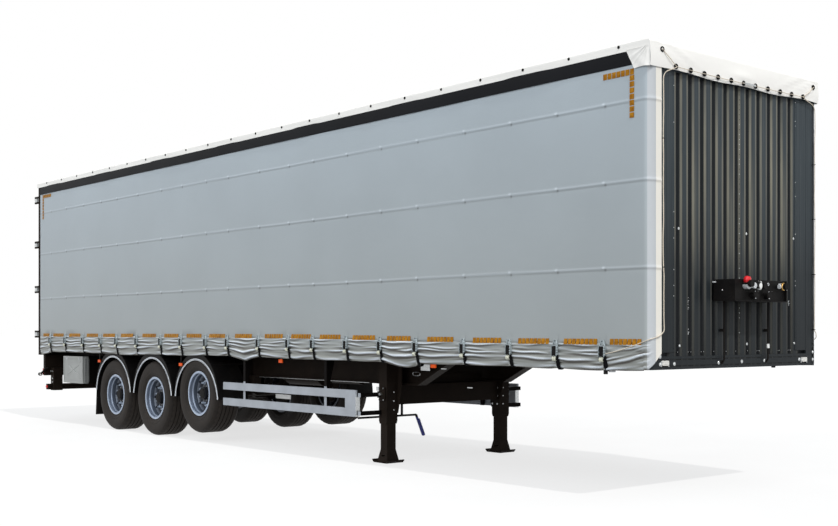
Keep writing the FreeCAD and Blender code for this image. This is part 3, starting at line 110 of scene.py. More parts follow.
class Field:
    """Something that varies over a surface: an output socket on which arithmetic wires Math nodes."""

    def __init__(self, tree, socket):
        self.tree, self.socket = tree, socket

    def maths(self, operation, other=None):
        node = self.tree.nodes.new("ShaderNodeMath")
        node.operation = operation
        feed(self.tree, node.inputs[0], self)
        if other is not None:
            feed(self.tree, node.inputs[1], other)
        return Field(self.tree, node.outputs[0])

    __add__ = functools.partialmethod(maths, "ADD")
    __sub__ = functools.partialmethod(maths, "SUBTRACT")
    __mul__ = functools.partialmethod(maths, "MULTIPLY")
    __truediv__ = functools.partialmethod(maths, "DIVIDE")
    __gt__ = functools.partialmethod(maths, "GREATER_THAN")
    __lt__ = functools.partialmethod(maths, "LESS_THAN")
    __or__ = functools.partialmethod(maths, "MAXIMUM")
    __abs__ = functools.partialmethod(maths, "ABSOLUTE")

    def __rsub__(self, other):
        return self * -1.0 + other

    def clamped(self, low, high):
        return (self | low).maths("MINIMUM", high)


class Nodes:
    """A material's node tree, with short calls for what is wired again and again."""

    def __init__(self, name):
        self.material = bpy.data.materials.new(name)
        self.material.use_nodes = True
        self.tree = self.material.node_tree
        self.shader = self.tree.nodes["Principled BSDF"]
        self.place = self.wire("ShaderNodeTexCoord", "Object", {})

    def wire(self, kind, output, inputs, **settings):
        """Adds a node with its settings and inputs, and gives one of its outputs."""
        node = self.tree.nodes.new(kind)
        for key, value in settings.items():
            setattr(node, key, value)
        for key, value in inputs.items():
            feed(self.tree, node.inputs[key], value)
        return Field(self.tree, node.outputs[output])

    def scaled(self, *scale):
        return self.wire("ShaderNodeMapping", "Vector", {"Scale": scale, "Vector": self.place})

    def noise(self, scale, detail=3.0, vector=None, rough=0.5):
        return self.wire("ShaderNodeTexNoise", "Fac", {"Scale": scale, "Detail": detail, "Roughness": rough,
                                                       "Vector": vector or self.place})

    def cells(self, scale, output):
        return self.wire("ShaderNodeTexVoronoi", output, {"Scale": scale, "Vector": self.place})

    def ramp(self, source, *stops):
        made = self.wire("ShaderNodeValToRGB", "Color", {"Fac": source})
        elements = made.socket.node.color_ramp.elements
        for index, (place, colour) in enumerate(stops):
            element = elements[index] if index < 2 else elements.new(place)
            element.position = place
            element.color = colour if isinstance(colour, tuple) else (colour, colour, colour, 1)
        return made

    def mix(self, factor, a, b, blend="MIX"):
        return self.wire("ShaderNodeMix", 2, {0: factor, 6: a, 7: b}, data_type="RGBA", blend_type=blend)

    def range(self, source, low, high):
        return self.wire("ShaderNodeMapRange", "Result", {"Value": source, "To Min": low, "To Max": high})

    def bump(self, height, distance, strength=1.0, under=None):
        inputs = {"Height": height, "Distance": distance, "Strength": strength}
        if under:
            inputs["Normal"] = under
        return self.wire("ShaderNodeBump", "Normal", inputs)

    def split(self):
        node = self.wire("ShaderNodeSeparateXYZ", 0, {0: self.place}).socket.node
        return [Field(self.tree, output) for output in node.outputs]

    def from_axle(self, centre):
        """Distance from a wheel's axle, and the place across the trailer."""
        x, y, z = self.split()
        dx, dz = x - centre[0], z - centre[2]
        return (dx * dx + dz * dz).maths("SQRT"), y

    def done(self, colour, rough, normal=None, metal=0.0, coat=0.0, spec=0.5):
        inputs = {"Base Color": colour, "Roughness": rough, "Metallic": metal, "Coat Weight": coat,
                  "Specular IOR Level": spec}
        if normal:
            inputs["Normal"] = normal
        for key, value in inputs.items():
            feed(self.tree, self.shader.inputs[key], value)
        return self.material


def finish(name, colour, rough, vary=0.12, scale=5.0, grain=300.0, depth=0.0003, metal=0.0, coat=0.0,
           stretch=(1, 1, 1), spec=0.5, dust=None):
    """General finish: cloudy colour, drifting roughness, fine grain and perhaps dust, as (colour, share)."""
    n = Nodes(name)
    broad, fine = n.noise(scale, 4.0, n.scaled(*stretch)), n.noise(grain, 2.0, n.scaled(*stretch))
    tone = n.ramp(broad, (0.3, shade(colour, 1 - vary)), (0.7, shade(colour, 1 + vary)))
    if dust:
        patches = n.ramp(n.noise(3.1, 6.0, rough=0.65), (0.48, 0.0), (0.8, 1.0))
        tone = n.mix(patches * dust[1], tone, dust[0])
    roughness = n.range(broad * 0.7 + fine * 0.3, max(0.02, rough - 0.12), min(1.0, rough + 0.12))
    return n.done(tone, roughness, n.bump(fine, depth), metal, coat, spec)


DUST = srgb(120, 108, 92)
paint_black = finish("chassis_black", srgb(36, 30, 26), 0.5, 0.25, 4, 500, 0.0002, spec=0.03,
                     dust=(DUST, 0.03))
plastic_black = finish("moulded_black", srgb(22, 21, 21), 0.5, 0.2, 9, 700, 0.0004, spec=0.07,
                       dust=(DUST, 0.03))
rubber_black = finish("rubber_black", srgb(27, 25, 24), 0.72, 0.2, 7, 600, 0.0004, spec=0.05,
                      dust=(DUST, 0.04))
zinc = finish("zinc_bright", srgb(196, 199, 200), 0.3, 0.1, 40, 900, 0.0001, metal=0.85)
steel = finish("steel_plain", srgb(170, 172, 175), 0.34, 0.12, 16, 900, 0.0001, metal=0.9)
aluminium = finish("aluminium_mill", srgb(202, 205, 207), 0.42, 0.06, 3, 420, 0.0002, 0.45,
                   stretch=(0.06, 1, 1))
rim_nut = finish("nut_bright", srgb(196, 208, 224), 0.25, 0.12, 60, 900, 0.0001, metal=0.25)
trim_alloy = finish("trim_alloy", srgb(234, 239, 246), 0.35, 0.06, 8, 600, 0.0001, metal=0.1)
coupling_alloy = finish("coupling_alloy", srgb(206, 208, 210), 0.28, 0.16, 90, 700, 0.0003, metal=0.15)
door_white = finish("door_paint", srgb(214, 216, 215), 0.32, 0.03, 1.5, 300, 0.0001, coat=0.3)
deck_wood = finish("deck_plywood", srgb(96, 66, 42), 0.6, 0.3, 3, 120, 0.0005, stretch=(0.1, 1, 1))
amber = finish("amber_lens", srgb(238, 92, 18), 0.16, 0.12, 80, 500, 0.0004, coat=0.6)
red_lens = finish("red_lens", srgb(190, 22, 18), 0.16, 0.12, 80, 500, 0.0004, coat=0.6)
clear_lens = finish("clear_lens", srgb(214, 213, 208), 0.14, 0.08, 60, 450, 0.0006, coat=0.6)
red_plastic = finish("red_cap", srgb(222, 36, 44), 0.36, 0.08, 30, 500, 0.0002)
white_plastic = finish("white_cap", srgb(240, 240, 238), 0.4, 0.03, 30, 500, 0.0002)
blue_grip = finish("blue_grip", srgb(40, 46, 120), 0.5, 0.15, 30, 500, 0.0002)
cord_cream = finish("cord_cream", srgb(214, 203, 186), 0.66, 0.1, 60, 1500, 0.0004)
strap_roller = finish("strap_roller", srgb(204, 205, 188), 0.35, 0.3, 60, 600, 0.0002)
buckle_metal = finish("buckle_metal", srgb(158, 168, 172), 0.3, 0.35, 70, 700, 0.0002, metal=0.3)
brass = finish("brass_worn", srgb(190, 150, 84), 0.34, 0.12, 50, 700, 0.0001, metal=0.85)


def webbing_material():
    """Black strap with a cross weave."""
    n = Nodes("strap_webbing")
    weave = n.wire("ShaderNodeTexWave", "Fac", {"Scale": 160, "Vector": n.place}, bands_direction="DIAGONAL")
    tone = n.ramp(n.noise(40), (0.3, srgb(8, 8, 9)), (0.75, srgb(22, 22, 23)))
    return n.done(tone, 0.68, n.bump(weave, 0.0006), spec=0.03)


def cloth_material(name, colour, bands=(), rough=0.46, vary=0.035, foot=None, spec=0.45, coat=0.12):
    """Coated fabric: a fine weave under a satin coat, faint clouds and creases. bands are zones, each as
    axis, low, high and colour. foot is the warm tint of a painted shade that grows towards the cloth's
    foot; with it come a darker painted shade below the tape, and painted shade in the hollows of the
    folds with a painted highlight on their ridges, read from an attribute kept on the cloth."""
    n = Nodes(name)
    places = n.split()
    cloud = n.noise(0.9, 5.0)
    tone = n.ramp(cloud, (0.3, shade(colour, 1 - vary)), (0.7, shade(colour, 1 + vary)))
    if foot:
        # painted shade, warmed by the ground, growing from the top down to the foot
        tone = n.mix((4.0 - places[2]) / 2.9, tone, foot, "MULTIPLY")
        # a darker, warm painted shade below the tape
        skirt_shade = n.ramp(places[2] - 1.0, (0.15, 0.85), (0.34, 0.55), (0.42, 0.0))
        tone = n.mix(skirt_shade, tone, srgb(222, 217, 208), "MULTIPLY")
    for axis, low, high, zone in bands:
        tone = n.mix((places[axis] > low) * (places[axis] < high), tone, zone)
    if foot:
        # painted shade in the hollows of the folds and painted highlight on their ridges, from the cloth's
        # attribute
        depth = n.wire("ShaderNodeAttribute", "Fac", {}, attribute_name="crease_shade")
        tone = n.mix(depth.clamped(0.0, 1.0), tone, srgb(66, 61, 56))
        tone = n.mix((depth * -1.0).clamped(0.0, 1.0), tone, srgb(228, 236, 246))
    creases = n.bump(n.noise(7.0, 5.0, n.scaled(0.35, 1, 1), 0.55), 0.004, 0.35)
    normal = n.bump(n.noise(900, 1.0), 0.0002, 0.5, creases)
    return n.done(tone, n.range(cloud, rough - 0.05, rough + 0.06), normal, coat=coat, spec=spec)


def tape_material():
    """Amber reflective tape: small cells under a gloss coat."""
    n = Nodes("amber_tape")
    tone = n.ramp(n.noise(24, 2.0), (0.3, srgb(145, 93, 14)), (0.72, srgb(185, 129, 30)))
    return n.done(tone, 0.4, n.bump(n.cells(260, "Distance"), 0.0004), spec=0.1)


GREY = srgb(176, 187, 195)
WHITE = srgb(249, 247, 243)
CREAM = srgb(238, 234, 225)
PALE = srgb(190, 194, 198)
webbing = webbing_material()
# foot tints the painted shade that grows towards the curtain's foot
curtain_cloth = cloth_material("curtain_cloth", GREY,
                               ((0, FRONT - 0.036, FRONT + 1, PALE), (1, -1.188, 1.188, CREAM)),
                               foot=srgb(232, 225, 216), spec=0.3)
roof_cloth = cloth_material("roof_cloth", WHITE, rough=0.5, vary=0.015)
black_cloth = cloth_material("track_cloth", srgb(27, 28, 31), rough=0.42, vary=0.15, spec=0.05, coat=0.0)
amber_tape = tape_material()


def wall_material():
    """Anthracite paint with vertical runs, darker towards the bottom: painted shade between the ribs, a painted
    highlight along their edges that is strongest high up, a painted sheen in streaks on the lands high up, and
    specks of dust.
    """
    pitch, first, rise, land = 2.20 / 13, 0.62, 0.15, 0.45     # the last three in pitches
    n = Nodes("front_paint")
    x, y, z = n.split()
    runs = n.noise(2.0, 5.0, n.scaled(3, 26, 0.35), 0.6)
    tone = n.ramp(runs, (0.32, srgb(50, 58, 63)), (0.56, srgb(61, 69, 74)), (0.8, srgb(82, 87, 88)))
    tone = n.mix(n.noise(2.2, 4.0) * 0.22, tone, srgb(34, 40, 45))
    height = (z - 1.3) / 2.5
    tone = n.mix(n.ramp(height, (0.0, 0.78), (0.3, 0.62), (0.52, 0.2), (0.8, 0.0)), tone, srgb(20, 22, 24))
    ribbed = (x < FRAME_FACE - 0.004) * (abs(y) < 0.998)
    place = (y + (1.10 + pitch * 6)) / pitch - first
    place = place.maths("FRACT")
    end = rise + land
    # painted shade in the troughs between the ribs
    trough = n.ramp(place, (0.0, 1.0), (0.05, 0.95), (0.07, 0.0), (end, 0.0), (end + 0.03, 0.95), (1.0, 1.0))
    tone = n.mix(trough * ribbed * 0.85, tone, srgb(15, 17, 20))
    # painted highlight along both edges of each rib, stronger higher up
    near = n.ramp(place, (0.045, 0.0), (0.068, 1.0), (0.125, 1.0), (0.155, 0.0))
    far = n.ramp(place, (end - 0.13, 0.0), (end - 0.10, 1.0), (end, 1.0), (end + 0.02, 0.0))
    edge_highlight_by_height = n.ramp(height, (0.0, 0.10), (0.3, 0.2), (0.42, 0.5), (0.7, 0.8), (1.0, 0.65))
    patchy = n.range(n.noise(1.3, 3.0, n.scaled(1, 9, 0.6)), -0.2, 1.5)
    edges = (near + far * 0.75) * (edge_highlight_by_height * patchy) * ribbed * 0.95
    tone = n.mix(edges.maths("MINIMUM", 0.95), tone, srgb(164, 158, 140))
    # painted sheen on the lands high up, in streaks
    sheen_band = n.ramp((z - 1.9) / 1.6, (0.0, 0.0), (0.25, 1.0), (0.5, 0.9), (0.85, 0.0))
    sheen_streaks = n.ramp(n.noise(1.0, 2.0, n.scaled(1, 11, 0.25)), (0.52, 0.0), (0.64, 1.0))
    tone = n.mix(sheen_band * sheen_streaks * ((1.0 - trough) * ribbed) * 0.28, tone, srgb(140, 136, 120))
    tone = n.mix(n.ramp(n.noise(210, 2.0), (0.70, 0.0), (0.78, 1.0)) * 0.1, tone, DUST)
    return n.done(tone, n.range(runs, 0.34, 0.52), n.bump(n.noise(260, 2), 0.0002), spec=0.14)


def galvanised_material():
    """Zinc spangle on a pressed steel locker."""
    n = Nodes("galvanised_spangle")
    spangle = n.cells(55, "Color")
    tone = n.ramp(spangle, (0.1, srgb(150, 153, 152)), (0.9, srgb(186, 189, 188)))
    return n.done(tone, n.range(spangle, 0.34, 0.5), n.bump(n.noise(120), 0.0002), metal=0.45)


def tyre_material(centre):
    """Rubber that is greyer on the tread and carries fine moulded rings round the wheel's own axle."""
    n = Nodes("tyre_rubber")
    radius = n.from_axle(centre)[0]
    rings = (radius * 900.0).maths("SINE") * ((radius > 0.345) * (radius < 0.36))
    clouds = n.noise(9, 5.0)
    tone = n.ramp(clouds, (0.3, srgb(30, 26, 24)), (0.75, srgb(46, 41, 37)))
    tone = n.mix((radius > 0.531) * 0.55, tone, srgb(66, 60, 55))
    normal = n.bump(n.noise(500, 2), 0.0003, 1.0, n.bump(rings, 0.001, 0.6))
    return n.done(tone, n.range(clouds, 0.58, 0.8), normal, spec=0.22)


def rim_material(centre):
    """Silver wheel paint on the barrel, a darker dish and a dark greasy hub, told apart by radius, and painted
    shade that grows the further inside the wheel a point lies from the barrel's lip.
    """
    n = Nodes("rim_paint")
    radius, y = n.from_axle(centre)
    tone = n.ramp(radius + n.noise(22, 5.0) * 0.016, (0.0, srgb(26, 25, 25)), (0.136, srgb(26, 25, 25)),
                  (0.142, srgb(48, 47, 47)), (0.232, srgb(58, 58, 60)), (0.250, srgb(132, 146, 166)),
                  (0.285, srgb(172, 186, 208)), (1.0, srgb(196, 208, 226)))
    # painted shade, darker the further inside the wheel
    barrel_shade = n.ramp(abs(y) - 1.0, (0.07, 0.85), (0.13, 0.55), (0.19, 0.12), (0.225, 0.0))
    tone = n.mix(barrel_shade, tone, srgb(52, 54, 60))
    bright = n.ramp(radius, (0.235, 0.0), (0.255, 1.0))
    return n.done(tone, n.range(n.noise(14), 0.26, 0.42), n.bump(n.noise(300), 0.0002), bright * 0.35,
                  spec=n.range(bright, 0.08, 0.45))


def zoned(name, base, other, boxes, rough=0.45, spec=0.2, other_spec=0.02):
    """Paint of one colour with another inside boxes: each is ((x0, x1), (y0, y1), (z0, z1)), with |y| for y
    and None where there is no limit."""
    n = Nodes(name)
    x, y, z = n.split()
    zones = []
    for box in boxes:
        limits = [(place, *pair) for place, pair in zip((x, abs(y), z), box)]
        checks = [place > low for place, low, high in limits if low is not None]
        checks += [place < high for place, low, high in limits if high is not None]
        zones.append(functools.reduce(operator.mul, checks))
    share = functools.reduce(operator.or_, zones)
    cloud = n.noise(4.0, 4.0)
    first = n.ramp(cloud, (0.3, shade(base, 0.88)), (0.7, shade(base, 1.12)))
    second = n.ramp(cloud, (0.3, shade(other, 0.8)), (0.7, shade(other, 1.2)))
    return n.done(n.mix(share, first, second), n.range(cloud, rough - 0.1, rough + 0.1),
                  n.bump(n.noise(500), 0.0003), spec=share * (other_spec - spec) + spec)


ANY = (None, None)
LOCKER_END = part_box("toolbox")[1].x
wall_paint = wall_material()
galvanised = galvanised_material()
# near black inside the boxes: on the rails' inboard side, within |y| 1.2235, it is painted shade; ahead of the
# guard's end and above 0.85 m it is the black of the mounts
guard_alloy = zoned("guard_alloy", srgb(172, 177, 184), srgb(18, 16, 15),
                    (((GUARD_END + 0.004, None), (None, 1.19), ANY), (ANY, (0.9, 1.2235), ANY),
                     (ANY, ANY, (0.85, None))), 0.42, 0.3)
# near black on all of the locker inboard of its outer face and on the inner part of its front end: painted
# shade under the body
locker_zinc = zoned("locker_zinc", srgb(160, 162, 160), srgb(22, 20, 18),
                    (((LOCKER_END - 0.016, None), (None, 1.150), ANY),
                     ((None, LOCKER_END - 0.02), (None, 1.20), ANY)), 0.4, 0.3)
crank_paint = zoned("crank_paint", srgb(20, 19, 18), srgb(34, 42, 124), ((ANY, (None, 0.5), (None, 0.488)),),
                    0.45, 0.15, 0.3)
marker_amber = zoned("marker_amber", srgb(14, 12, 11), srgb(245, 88, 20),
                     ((ANY, ANY, (1.013, 1.057)), ((FRONT - 7.0, None), (1.238, None), (1.105, 1.155))),
                     0.3, 0.02, 0.12)


# ---- mesh building

def put(mesh, materials, name, body="chassis"):
    """Makes a mesh an object that rides on a body."""
    for material in materials:
        mesh.materials.append(material)
    mesh.polygons.foreach_set("use_smooth", [True] * len(mesh.polygons))
    piece = bpy.data.objects.new(name, mesh)
    bpy.context.scene.collection.objects.link(piece)
    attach(piece, body)
    return piece


def frame_of(axis):
    """An axis with two directions across it, all of length one."""
    axis = Vector(axis).normalized()
    across = axis.orthogonal().normalized()
    return axis, across, axis.cross(across)


def skin(rows, loop=False):
    """Faces between rings of points: joined from the last ring to the first, or else closed at both ends."""
    count = len(rows[0])
    faces = [[a[k], a[(k + 1) % count], b[(k + 1) % count], b[k]]
             for a, b in zip(rows, rows[1:] + rows[:1] if loop else rows[1:]) for k in range(count)]
    return faces if loop else faces + [rows[0][::-1], rows[-1]]


class Build:
    """Gathers many small shapes, placed from an origin, into one mesh with several materials."""

    def __init__(self, *materials, origin=(0, 0, 0)):
        self.materials, self.origin = materials, Vector(origin)
        self.verts, self.faces, self.slots = [], [], []

    def add(self, verts, faces, slot=0):
        base = len(self.verts)
        self.verts += [tuple(self.origin + Vector(v)) for v in verts]
        self.faces += [[base + i for i in face] for face in faces]
        self.slots += [slot] * len(faces)

    def block(self, low, high, slot=0, chamfer=0.0):
        """Box with chamfered edges: each corner has three points, one moved off along each pair of axes."""
        ends = [sorted(pair) for pair in zip(low, high)]
        sizes = [b - a for a, b in ends]
        cut = min([chamfer] + [size * 0.45 for size in sizes]) or min(sizes) * 0.05
        verts = [[ends[k][corner[k]] + (k != axis) * cut * (1 - 2 * corner[k]) for k in range(3)]
                 for corner in itertools.product((0, 1), repeat=3) for axis in range(3)]
        faces = [[3 * k, 3 * k + 1, 3 * k + 2] for k in range(8)]
        for axis in range(3):
            a, b = (axis + 1) % 3, (axis + 2) % 3

            def at(s, p, q, which):
                return 3 * ((s << (2 - axis)) + (p << (2 - a)) + (q << (2 - b))) + which

            faces += [[at(s, p, q, axis) for p, q in ((0, 0), (1, 0), (1, 1), (0, 1))] for s in (0, 1)]
            faces += [[at(0, p, q, a), at(1, p, q, a), at(1, p, q, b), at(0, p, q, b)]
                      for p, q in itertools.product((0, 1), repeat=2)]
        self.add(verts, faces, slot)

    def lathe(self, start, axis, profile, sides=20, slot=0):
        """Revolves (radius, place along the axis) about an axis; ends of zero radius close it."""
        axis, u, v = frame_of(axis)
        verts, rows = [], []
        for radius, along in profile:
            count = 1 if radius <= 1e-6 else sides
            rows.append([len(verts) + k % count for k in range(sides)])
            for k in range(count):
                angle = 2 * math.pi * k / sides
                out = u * math.cos(angle) + v * math.sin(angle)
                verts.append(Vector(start) + axis * along + out * radius)
        faces = []
        for a, b in zip(rows, rows[1:]):
            for k in range(sides):
                m = (k + 1) % sides
                face = list(dict.fromkeys((a[k], a[m], b[m], b[k])))
                if len(face) > 2:
                    faces.append(face)
        self.add(verts, faces, slot)

    def rod(self, start, end, radius, sides=12, slot=0, bevel=0.0):
        run = Vector(end) - Vector(start)
        c, length = bevel or radius * 0.12, run.length
        half = [(0, 0), (radius - c, 0), (radius, c)]
        self.lathe(start, run, half + [(r, length - along) for r, along in half[::-1]], sides, slot)

    def tube(self, points, radius, sides=8, slot=0, flat=None):
        """Round or, with flat=(width, thickness, across), ribbon-like tube along points."""
        points = [Vector(p) for p in points]
        verts, rows, normal = [], [], None
        edge = ((-1, -0.5), (-0.92, -1), (0.92, -1), (1, -0.5), (1, 0.5), (0.92, 1), (-0.92, 1), (-1, 0.5))
        turns = [2 * math.pi * k / sides for k in range(sides)]
        for index, point in enumerate(points):
            ahead = (points[min(index + 1, len(points) - 1)] - points[max(index - 1, 0)]).normalized()
            if flat:
                across = Vector(flat[2]).normalized()
                up = ahead.cross(across).normalized()
                ring = [across * (w * flat[0] / 2) + up * (t * flat[1] / 2) for w, t in edge]
            else:
                normal = ahead.orthogonal() if normal is None else normal - ahead * normal.dot(ahead)
                normal.normalize()
                side = ahead.cross(normal)
                ring = [(normal * math.cos(turn) + side * math.sin(turn)) * radius for turn in turns]
            rows.append([len(verts) + k for k in range(len(ring))])
            verts += [point + r for r in ring]
        self.add(verts, skin(rows), slot)

    def ring(self, centre, axis, radius, thick, sides=24, around=8, slot=0, start=0.0, sweep=2 * math.pi):
        """Torus, or a part of one."""
        axis, u, v = frame_of(axis)
        whole = sweep >= 2 * math.pi - 1e-6
        verts, rows = [], []
        for k in range(sides if whole else sides + 1):
            angle = start + sweep * k / sides
            out = u * math.cos(angle) + v * math.sin(angle)
            rows.append([len(verts) + j for j in range(around)])
            for j in range(around):
                turn = 2 * math.pi * j / around
                rise = axis * (thick * math.sin(turn))
                verts.append(Vector(centre) + out * (radius + thick * math.cos(turn)) + rise)
        self.add(verts, skin(rows, whole), slot)

    def dome(self, centre, axis, radius, height, sides=12, slot=0):
        """Low rivet or bolt head."""
        steps = [(radius * math.cos(a), height * math.sin(a)) for a in (0, 0.45, 0.9, 1.25)]
        self.lathe(centre, axis, [(radius, -height * 0.3)] + steps + [(0, height)], sides, slot)

    def hexagon(self, centre, axis, across, height, slot=0):
        """Nut or bolt head with a chamfered top."""
        radius = across / math.sqrt(3)
        profile = [(0, 0), (radius, 0), (radius, height * 0.8), (radius * 0.86, height), (0, height)]
        self.lathe(centre, axis, profile, 6, slot)

    def object(self, name, body="chassis", smooth=35):
        mesh = bpy.data.meshes.new(name)
        mesh.from_pydata(self.verts, [], self.faces)
        piece = put(mesh, self.materials, name, body)
        mesh.polygons.foreach_set("material_index", self.slots)
        made = bmesh.new()
        made.from_mesh(mesh)
        bmesh.ops.recalc_face_normals(made, faces=made.faces)
        made.to_mesh(mesh)
        made.free()
        mesh.set_sharp_from_angle(angle=math.radians(smooth))
        return piece


def sheet(name, points, material, flip=False):
    """Cloth from an array of points of shape (rows, columns, 3)."""
    rows, columns = points.shape[:2]
    index = np.arange(rows * columns).reshape(rows, columns)
    quads = np.stack([index[:-1, :-1], index[:-1, 1:], index[1:, 1:], index[1:, :-1]], -1).reshape(-1, 4)
    mesh = bpy.data.meshes.new(name)
    mesh.from_pydata(points.reshape(-1, 3).tolist(), [], (quads[:, ::-1] if flip else quads).tolist())
    return put(mesh, [material], name)


def smooth_step(t):
    t = np.clip(t, 0, 1)
    return t * t * (3 - 2 * t)


def hill(x, centre, width):
    return np.exp(-((x - centre) / width) ** 2)


# ---- CAD nodes keep their mesh

FINISHES = {
    paint_black: "main_beams cross_members side_rails coupler_plate landing_leg_right landing_leg_left "
                 "landing_brace underrun_guard rear_frame hangers axle_front axle_middle axle_rear air_tanks",
    plastic_black: "mudguards_right mudguards_left service_box",
    rubber_black: "air_springs mudflaps service_lines",
    deck_wood: "floor_deck",
    steel: "kingpin door_bars_left door_bars_right",
    crank_paint: "landing_crank",
    aluminium: "cant_rails roof_bows side_posts",
    guard_alloy: "side_guard_right side_guard_left",
    locker_zinc: "toolbox",
    wall_paint: "front_frame front_panel",
    door_white: "door_right door_left",
    red_lens: "rear_lamps",
    marker_amber: "side_markers",
    clear_lens: "front_markers",
}


def set_material(node, material):
    materials = NODES[node].data.materials
    if not materials:
        materials.append(material)
    for index in range(len(materials)):
        materials[index] = material


for material, names in FINISHES.items():
    for node in names.split():
        set_material(node, material)
for wheel, centre in CENTRES.items():
    set_material(f"rim_{wheel}", rim_material(centre))


# ---- side curtains

BAY_EDGES = [REAR - 0.02] + STRAP_X + [FRONT - CORNER + 0.03]
# height of the right curtain's foot by the place behind the front
HEM = ((-13.70, 1.075), (-13.35, 1.122), (-12.95, 1.160), (-10.65, 1.159), (-10.44, 1.146), (-9.80, 1.147),
       (-9.45, 1.166), (-8.40, 1.160), (-7.95, 1.173), (-7.15, 1.178), (-6.95, 1.148), (-6.74, 1.122),
       (-6.60, 1.150), (-6.40, 1.176), (-5.70, 1.163), (-4.85, 1.163), (-4.25, 1.162), (-3.79, 1.158),
       (-3.55, 1.122), (-3.38, 1.110), (-3.25, 1.126), (-3.17, 1.154), (-1.77, 1.158), (-1.22, 1.146),
       (-1.09, 1.152), (-0.60, 1.142), (-0.40, 1.150), (-0.05, 1.152), (0.50, 1.152))
HEM_X, HEM_Z = np.array(HEM).T
SEAMS = (3.495, 2.802, 2.049)
CLOTH_TOP, SKIRT_TOP, MARKED_TOP = 3.918, 1.43, 1.46
CHANGE = 0.0048          # how far off the mean line a fold's hollow lies where its painted shade is full


def lift(x):
    """Rise of the buckles and of the tape towards the rear."""
    return 0.034 * smooth_step((FRONT - 1.0 - np.asarray(x, float)) / 5.0)


class Folds:
    """The pull folds of one curtain's foot: rolls of slack cloth between the straps, pinched by each."""

    def __init__(self, side, seed, loose):
        draw = np.random.default_rng(seed)
        self.shift = 0.0 if side < 0 else -0.35
        self.start, self.size = np.array(BAY_EDGES[:-1]), np.diff(BAY_EDGES)
        shape = (len(self.start), 5)
        self.level = np.array([0.94, 0.77, 0.61, 0.42, 0.10]) + draw.normal(0, 0.018, shape)
        self.tilt = draw.normal(0, 0.05, shape)
        self.bow = draw.uniform(-0.02, 0.06, shape)
        self.high = draw.uniform(0.75, 1.15, shape) * np.array([0.012, 0.014, 0.015, 0.028, 0.027])
        self.wide = draw.uniform(0.9, 1.15, shape) * np.array([0.055, 0.070, 0.060, 0.110, 0.120])
        self.phase = draw.uniform(0, 6.28, shape)
        self.tilt[-1] += np.array([0.05, 0.30, 0.48, 0.46, 0.26])
        self.slack = np.ones(len(self.start))
        for centre, amount in loose:
            self.slack[np.argmin(np.abs(self.start + self.size / 2 - FRONT - centre))] = amount

    def at(self, x):
        """The bay that x lies in, and how far along it."""
        which = np.clip(np.searchsorted(self.start, x) - 1, 0, len(self.start) - 1)
        return which, np.clip((x - self.start[which]) / self.size[which], 0, 1)

    def hem(self, x):
        x = np.asarray(x, float)
        which, u = self.at(x)
        rise = 0.005 * np.sin(math.pi * u) * self.slack[which]
        return np.interp(x - FRONT, HEM_X + self.shift, HEM_Z) - rise

    def out(self, x, z):
        """How far the cloth stands out below the tape."""
        which, u = self.at(x)
        low = self.hem(x)
        v = (z - low) / (1.384 + lift(x) - low)
        span = np.sin(math.pi * u)
        total = np.zeros_like(v)
        for k in range(self.level.shape[1]):
            phase, slack = self.phase[which, k], self.slack[which]
            tilt, bow = self.tilt[which, k], self.bow[which, k]
            centre = self.level[which, k] + tilt * (u - 0.5) - bow * span * slack
            centre = centre + 0.022 * np.sin(u * 7 + phase) * span
            far = (v - centre) / (self.wide[which, k] * (0.72 + 0.28 * span))
            roll = np.where(far > 0, np.exp(-np.abs(far / 1.15) ** 1.7), np.exp(-(far / 0.42) ** 2))
            grow = 0.55 + 0.45 * np.sin(u * 4.4 + phase * 2)
            total += self.high[which, k] * slack * grow * roll * (0.35 + 0.65 * span ** 0.35)
        belly = 0.008 * span ** 0.5 * np.sin(math.pi * np.clip(v, 0, 1)) ** 0.7
        strap = np.minimum(x - self.start[which], self.start[which] + self.size[which] - x)
        for k in (2, 3):
            line = (self.level[which, k] + self.level[which, k + 1]) / 2 - 0.02
            line += self.tilt[which, k] * (u - 0.5) * 0.7
            reach = np.exp(-strap / (0.10 + 0.06 * np.sin(self.phase[which, k])))
            total -= 0.0075 * reach * np.exp(-((v - line) / 0.030) ** 2)
        pinch = 1 - 0.6 * hill(strap, 0, 0.042)
        pucker = 0.004 * hill(strap, 0, 0.10) * np.sin(v * 26 + self.phase[which, 0])
        pucker = pucker * (1 - hill(strap, 0, 0.02))
        return ((total + belly) * pinch + pucker) * (1 - smooth_step((v - 0.95) / 0.08))


FOLDS = {-1: Folds(-1, 5, ((-6.74, 1.5), (-3.40, 1.5))), 1: Folds(1, 23, ((-9.4, 1.4), (-2.2, 1.3)))}


